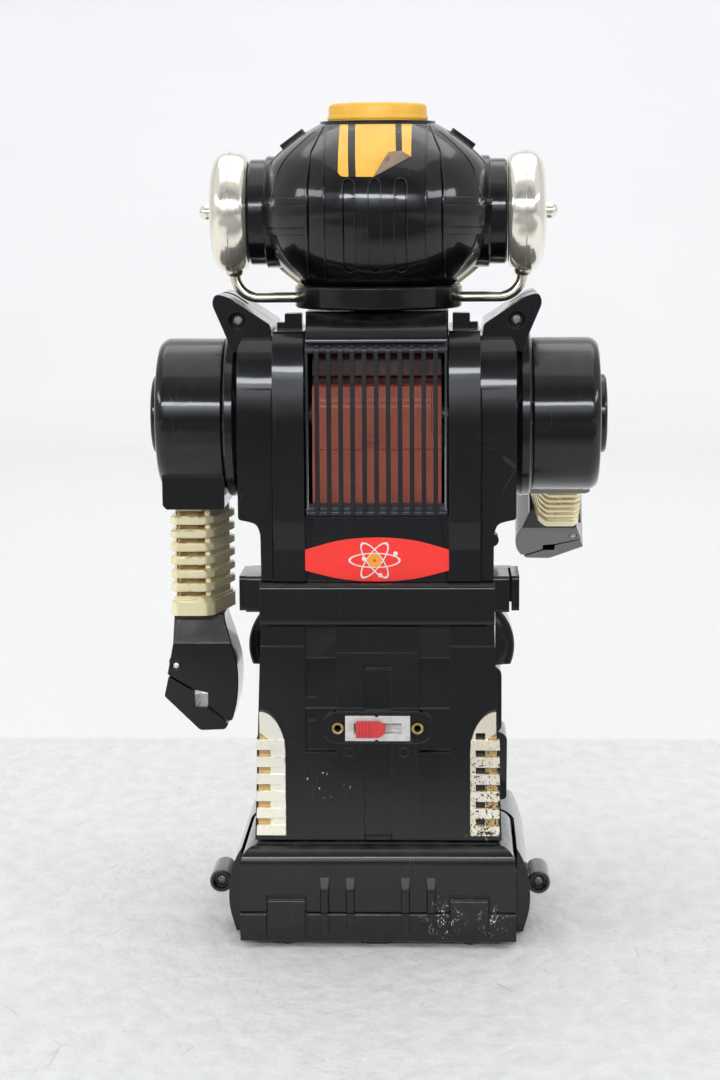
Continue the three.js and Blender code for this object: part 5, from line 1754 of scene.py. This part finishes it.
def forearm():
    """The gold ribbed forearm: rounded fins round a core, cut by a wide slit between each two fins."""
    core = prism("z", forearm_plan(1.8), FOREARM_LOW, FOREARM_HIGH)
    fins = []
    slits = []
    for i in range(7):
        z = RIB_HIGH - i * RIB_PITCH
        if i < 6:
            fins.append(prism("z", forearm_plan(0), z - 1.2, z + 1.2))
            fins.append(prism("z", forearm_plan(0.7), z - 1.6, z + 1.6))
        middle = z + RIB_PITCH / 2
        slits.append(prism("y", rounded(65.8, 78.6, middle - 0.95, middle + 0.95, 0.6), 10, 20))
        slits.append(
            prism(
                "x", [(-9, middle - 0.95), (9, middle - 0.95), (9, middle + 0.95), (-9, middle + 0.95)],
                74, 90,
            ),
        )
    cuff = prism("z", forearm_plan(0), FOREARM_LOW, 128.6)
    cuff_step = prism("z", forearm_plan(0.9), 128, 129.6)
    return cut(join(core, *fins, cuff, cuff_step), *slits)


def forearm_core():
    """The darker gold core that shows through the slits."""
    return prism("z", forearm_plan(3.4), FOREARM_LOW + 1, FOREARM_HIGH - 1)


PALM_EDGE = [(83.3, 99.2, 0.4), (72.3, 92.9, 0.4), (67.5, 91.8, 0.3), (67.5, 87, 0.3), (59.7, 80.5, 0.2)]


def hand_palm():
    """The fixed half of the claw: a thick curved plate with a sloping wrist."""
    outline = eased(
        [
            (80.5, 122.8, 0.6), (80.9, 111.5, 0.6), *PALM_EDGE, (58, 80.9, 0.6), (56.2, 87, 3.5),
            (55.4, 94.3, 3.5), (55.5, 102.6, 4), (58, 111.9, 4), (60.6, 120.4, 2), (60.8, 122.8, 0.4),
        ],
        0.5, steps=6,
    )
    plate = prism("y", outline, HAND_FRONT, HAND_REAR)
    slope = prism(
        "x", [(HAND_REAR + 1, 111.5), (HAND_REAR, 111.5), (HAND_REAR - 4, 124), (HAND_REAR + 1, 124)],
        50, 90,
    )
    front_slope = prism(
        "x",
        [(HAND_FRONT - 1, 111.5), (HAND_FRONT, 111.5), (HAND_FRONT + 3, 124), (HAND_FRONT - 1, 124)], 50,
        90,
    )
    tongue_slot = block(73.5, 90, -6, 6, 90, 107.6)
    return cut(plate, slope, front_slope, tongue_slot, bar("y", 1.6, -20, 20, PIN))


def hand_jaw():
    """The moving half of the claw with its hinge tongue."""
    outline = eased(
        [
            (82.9, 98.3, 0.4), (84.6, 90.5, 0.8), (70.7, 76.9, 1.2), (60.8, 77.3, 1.0),
            (59.6, 79.3, 0.3), (67.9, 86.2, 0.3), (72.4, 86.4, 0.3), (72.6, 92.1, 0.3),
        ],
        0.4,
    )
    blade = prism("y", outline, HAND_FRONT, HAND_REAR)
    tongue = join(bar("y", 3.6, -5.5, 5.5, PIN, 48), block(76.1, 82.3, -5.5, 5.5, 93.5, PIN[1]))
    return cut(join(blade, tongue), bar("y", 1.6, -20, 20, PIN))


def jaw_pin():
    profile = [(-12.6, 0), (-12.6, 1.3), (11.9, 1.3), (12.3, 1.1), (12.6, 0.5), (12.6, 0)]
    return turned("y", profile, PIN, 32)


def build_arms():
    limb = look["limb"]
    arm_piece_pair("arm_shell", arm_shell(), "arm", "black_shell", limb, bevel=0.3)
    arm_piece_pair("forearm", forearm(), "arm", "gold", look["limb_gold"], bevel=0.2)
    arm_piece_pair("forearm_core", forearm_core(), "arm", "gold", look["lacquer"], stands_for=False, bevel=0)
    arm_piece_pair("hand_palm", hand_palm(), "arm", "black_shell", limb, bevel=0.35, clamp=False)
    arm_piece_pair("hand_jaw", hand_jaw(), "jaw", "black_shell", limb, bevel=0.35)
    arm_piece_pair("jaw_pin", jaw_pin(), "arm", "steel", look["steel"], bevel=0)


# ---------------------------------------------------------------- CAD parts shown as they are
CARRIED_OVER = {
    "shoulder_axle": ("steel", "steel"),
    "cell_front_left": ("cell", "cell_jacket"),
    "cell_front_right": ("cell", "cell_jacket"),
    "cell_rear_left": ("cell", "cell_jacket"),
    "cell_rear_right": ("cell", "cell_jacket"),
    "battery_contact_left": ("steel", "steel"),
    "battery_contact_right": ("steel", "steel"),
    "gearbox_frame": ("nylon", "nylon"),
    "motor": ("steel", "steel"),
    "motor_pinion": ("brass", "brass"),
    "idler_gear": ("nylon", "nylon"),
    "axle_gear": ("nylon", "nylon"),
    "drive_axle": ("steel", "steel"),
    "drive_wheel_left": ("rubber", "rubber"),
    "drive_wheel_right": ("rubber", "rubber"),
}


def dress_cad_parts():
    """Gives the working parts inside their materials and eased edges; their shapes stay as they are."""
    for name, (finish, slot) in CARRIED_OVER.items():
        part = frame["nodes"][name]
        part.data.materials.clear()
        part.data.materials.append(look[finish])
        part.data.polygons.foreach_set("material_index", [0] * len(part.data.polygons))
        weld = part.modifiers.new("weld", "WELD")
        weld.merge_threshold = 0.01 * MM
        edge = part.modifiers.new("eased_edges", "BEVEL")
        edge.width = 0.12 * MM
        edge.segments = 2
        edge.limit_method = "ANGLE"
        edge.angle_limit = math.radians(30)


# ---------------------------------------------------------------- room, lights and camera
CAMERA_POINT = Vector((-0.0277, 0.9658, 0.2842))
CAMERA_PITCH = math.radians(8.13)
CAMERA_ROLL = math.radians(0.35)
CAMERA_HEADING = math.radians(2.177465)
LENS = 80
SENSOR = 36
WALL_LINE = -0.274
SWEEP_FRONT = -2.6
SWEEP_REAR = 3.2
WINDOW_SIDE = [(0.0, 0.22), (0.36, 0.24), (0.62, 0.42), (0.86, 1.0)]
WINDOW_GLOW = [(0.0, 0.02), (0.10, 0.12), (0.20, 0.40), (0.28, 1.0), (0.31, 0.8), (0.34, 0.0)]


def build_camera():
    """The photo's view: from behind, a little above the middle, looking slightly down."""
    forward = Vector((
        math.sin(CAMERA_HEADING) * math.cos(CAMERA_PITCH),
        -math.cos(CAMERA_HEADING) * math.cos(CAMERA_PITCH),
        -math.sin(CAMERA_PITCH),
    ))
    level = Vector((-math.cos(CAMERA_HEADING), -math.sin(CAMERA_HEADING), 0))
    top = level.cross(forward)
    right = level * math.cos(CAMERA_ROLL) - top * math.sin(CAMERA_ROLL)
    up = level * math.sin(CAMERA_ROLL) + top * math.cos(CAMERA_ROLL)
    turn = Matrix((right, up, -forward)).transposed().to_4x4()
    data = bpy.data.cameras.new("photo_camera")
    data.lens = LENS
    data.sensor_width = SENSOR
    data.sensor_fit = "AUTO"
    camera = bpy.data.objects.new("photo_camera", data)
    camera.matrix_world = Matrix.Translation(CAMERA_POINT) @ turn
    bpy.context.scene.collection.objects.link(camera)
    bpy.context.scene.camera = camera


def floor_material():
    """Pale painted board: rough paint, rubbed patches, short scratches and grey specks, with painted shade on
    the part towards the camera.
    """
    made, tree, shader = new_material("pale_floor", (0.80, 0.80, 0.79), roughness=0.6)
    paint = clouds(tree, 120, 0.36, 0.66, detail=14, stretch=(1, 0.6, 1))
    patches = clouds(tree, 14, 0.42, 0.60, detail=6, stretch=(1, 0.5, 1))
    grit = times(tree, specks(tree, 170, 0.09), clouds(tree, 14, 0.48, 0.60))
    rubbed = times(tree, clouds(tree, 420, 0.57, 0.66, detail=8), patches)
    lines = scratches(tree, 26, 0.006, (1.0, 0.30, 1.0), (0.0, 0.0, 1.1))
    color = blend(tree, paint, (0.81, 0.81, 0.805, 1), (0.74, 0.74, 0.735, 1))
    color = blend(tree, times(tree, rubbed, 0.40), color, (0.50, 0.49, 0.48, 1))
    color = blend(tree, times(tree, lines, 0.45), color, (0.46, 0.45, 0.44, 1))
    color = blend(tree, times(tree, grit, 0.50), color, (0.36, 0.35, 0.34, 1))
    depth = position(tree)[1]
    across = plain_math(tree, "ABSOLUTE", position(tree)[0])
    # Painted shade: the floor between the robot and the camera is painted dark, and painted light lifts it on
    # the +X side.
    shade = times(tree, remap(tree, depth, 0.23, 0.38), remap(tree, across, 1.3, 0.5))
    sunny = times(tree, remap(tree, position(tree)[0], 0.03, 0.16), remap(tree, depth, 0.65, 0.50))
    shade = times(tree, shade, remap(tree, sunny, 0, 1, 1.0, 0.25))
    color = blend(tree, shade, color, (0.13, 0.13, 0.135, 1))
    color = blend(tree, remap(tree, depth, WALL_LINE, WALL_LINE - 0.008), color, (0.86, 0.86, 0.86, 1))
    tree.links.new(color, shader.inputs["Base Color"])
    relief(tree, shader, paint, 0.5)
    return made


def wall_material():
    made, tree, shader = new_material("pale_wall", (0.88, 0.88, 0.88), roughness=0.9)
    patch = clouds(tree, 3, 0.3, 0.7)
    tree.links.new(
        blend(tree, patch, (0.88, 0.88, 0.88, 1), (0.86, 0.86, 0.86, 1)), shader.inputs["Base Color"]
    )
    return made


def build_room():
    """One sheet: a pale floor that sweeps up into a far wall, so that every view round the robot is free."""
    half = 5.0
    rows = [(SWEEP_REAR, 0.0)]
    rows += [(SWEEP_FRONT + 0.8 - y, z) for y, z in arc((0, 0.8), 0.8, -90, 0, 12)]
    rows.append((SWEEP_FRONT, 4.0))
    points = [(x, y, z) for y, z in rows for x in (-half, half)]
    faces = [(2 * i, 2 * i + 1, 2 * i + 3, 2 * i + 2) for i in range(len(rows) - 1)]
    mesh = bpy.data.meshes.new("room")
    mesh.from_pydata(points, [], faces)
    mesh.materials.append(floor_material())
    mesh.materials.append(wall_material())
    for face in mesh.polygons:
        face.material_index = 0 if face.index == 0 else 1
        face.use_smooth = face.index > 0
    room = bpy.data.objects.new("room", mesh)
    bpy.context.scene.collection.objects.link(room)


def soft_light(name, place_at, aim, size, power, color=(1, 1, 1)):
    data = bpy.data.lights.new(name, "AREA")
    data.shape = "RECTANGLE"
    data.size, data.size_y = size
    data.energy = power
    data.color = color
    light = bpy.data.objects.new(name, data)
    light.location = place_at
    light.rotation_euler = (Vector(aim) - Vector(place_at)).to_track_quat("-Z", "Y").to_euler()
    bpy.context.scene.collection.objects.link(light)
    return light


def grey_ramp(tree, value, stops):
    """A grey that follows a value through stops of (value, grey)."""
    made = node(tree, "ValToRGB", {0: value})
    ramp = made.color_ramp
    while len(ramp.elements) < len(stops):
        ramp.elements.new(1.0)
    for element, (at, grey) in zip(ramp.elements, stops):
        element.position = at
        element.color = (grey, grey, grey, 1)
    return made.outputs[0]


def build_world():
    """A bright soft room; on the camera's side a dim wall, a row of windows and a pale ceiling."""
    world_data = bpy.data.worlds.new("soft_room")
    bpy.context.scene.world = world_data
    world_data.use_nodes = True
    tree = world_data.node_tree
    background = tree.nodes["Background"]
    direction = node(tree, "TexCoord").outputs["Generated"]
    _, y, z = node(tree, "SeparateXYZ", {0: direction}).outputs[:3]
    open_side = blend(tree, remap(tree, z, -0.05, 0.75), (0.85, 0.86, 0.88, 1), (1.0, 1.0, 1.0, 1))
    furniture = node(tree, "TexNoise", {"Vector": direction, "Scale": 4.0, "Detail": 3.0}).outputs["Fac"]
    window_side = blend(
        tree, remap(tree, furniture, 0.45, 0.60, 0.0, 0.65), grey_ramp(tree, z, WINDOW_SIDE),
        (0.10, 0.10, 0.105, 1),
    )
    color = blend(tree, remap(tree, y, 0.40, 0.75), open_side, window_side)
    glow = times(tree, grey_ramp(tree, z, WINDOW_GLOW), remap(tree, y, 0.60, 0.90))
    glow = times(tree, glow, remap(tree, furniture, 0.62, 0.42, 0.35, 1.0))
    color = blend(tree, glow, color, (9.0, 9.3, 10.0, 1))
    tree.links.new(color, background.inputs["Color"])
    background.inputs["Strength"].default_value = 0.62


def build_stage():
    build_room()
    build_world()
    build_camera()
    middle = (0, 0.02, 0.18)
    sky = (0.93, 0.96, 1.0)
    soft_light("window", (0.1, 1.85, 0.84), middle, (2.2, 0.15), 16, sky)
    soft_light("left_window", (1.80, 0.85, 0.86), middle, (1.1, 0.24), 6, sky)
    soft_light("right_window", (-1.80, 0.85, 0.90), middle, (1.1, 0.24), 6, sky)
    soft_light("overhead", (0.0, 0.10, 1.6), middle, (1.8, 1.3), 5.5)
    soft_light("backdrop_wash", (0, -1.2, 1.9), (0, -1.7, 0), (2.4, 1.2), 14.5)
    bpy.context.scene.view_settings.view_transform = "Standard"


# ---------------------------------------------------------------- the scene
build_head()
build_torso()
build_legs()
build_base()
build_arms()
dress_cad_parts()
build_stage()
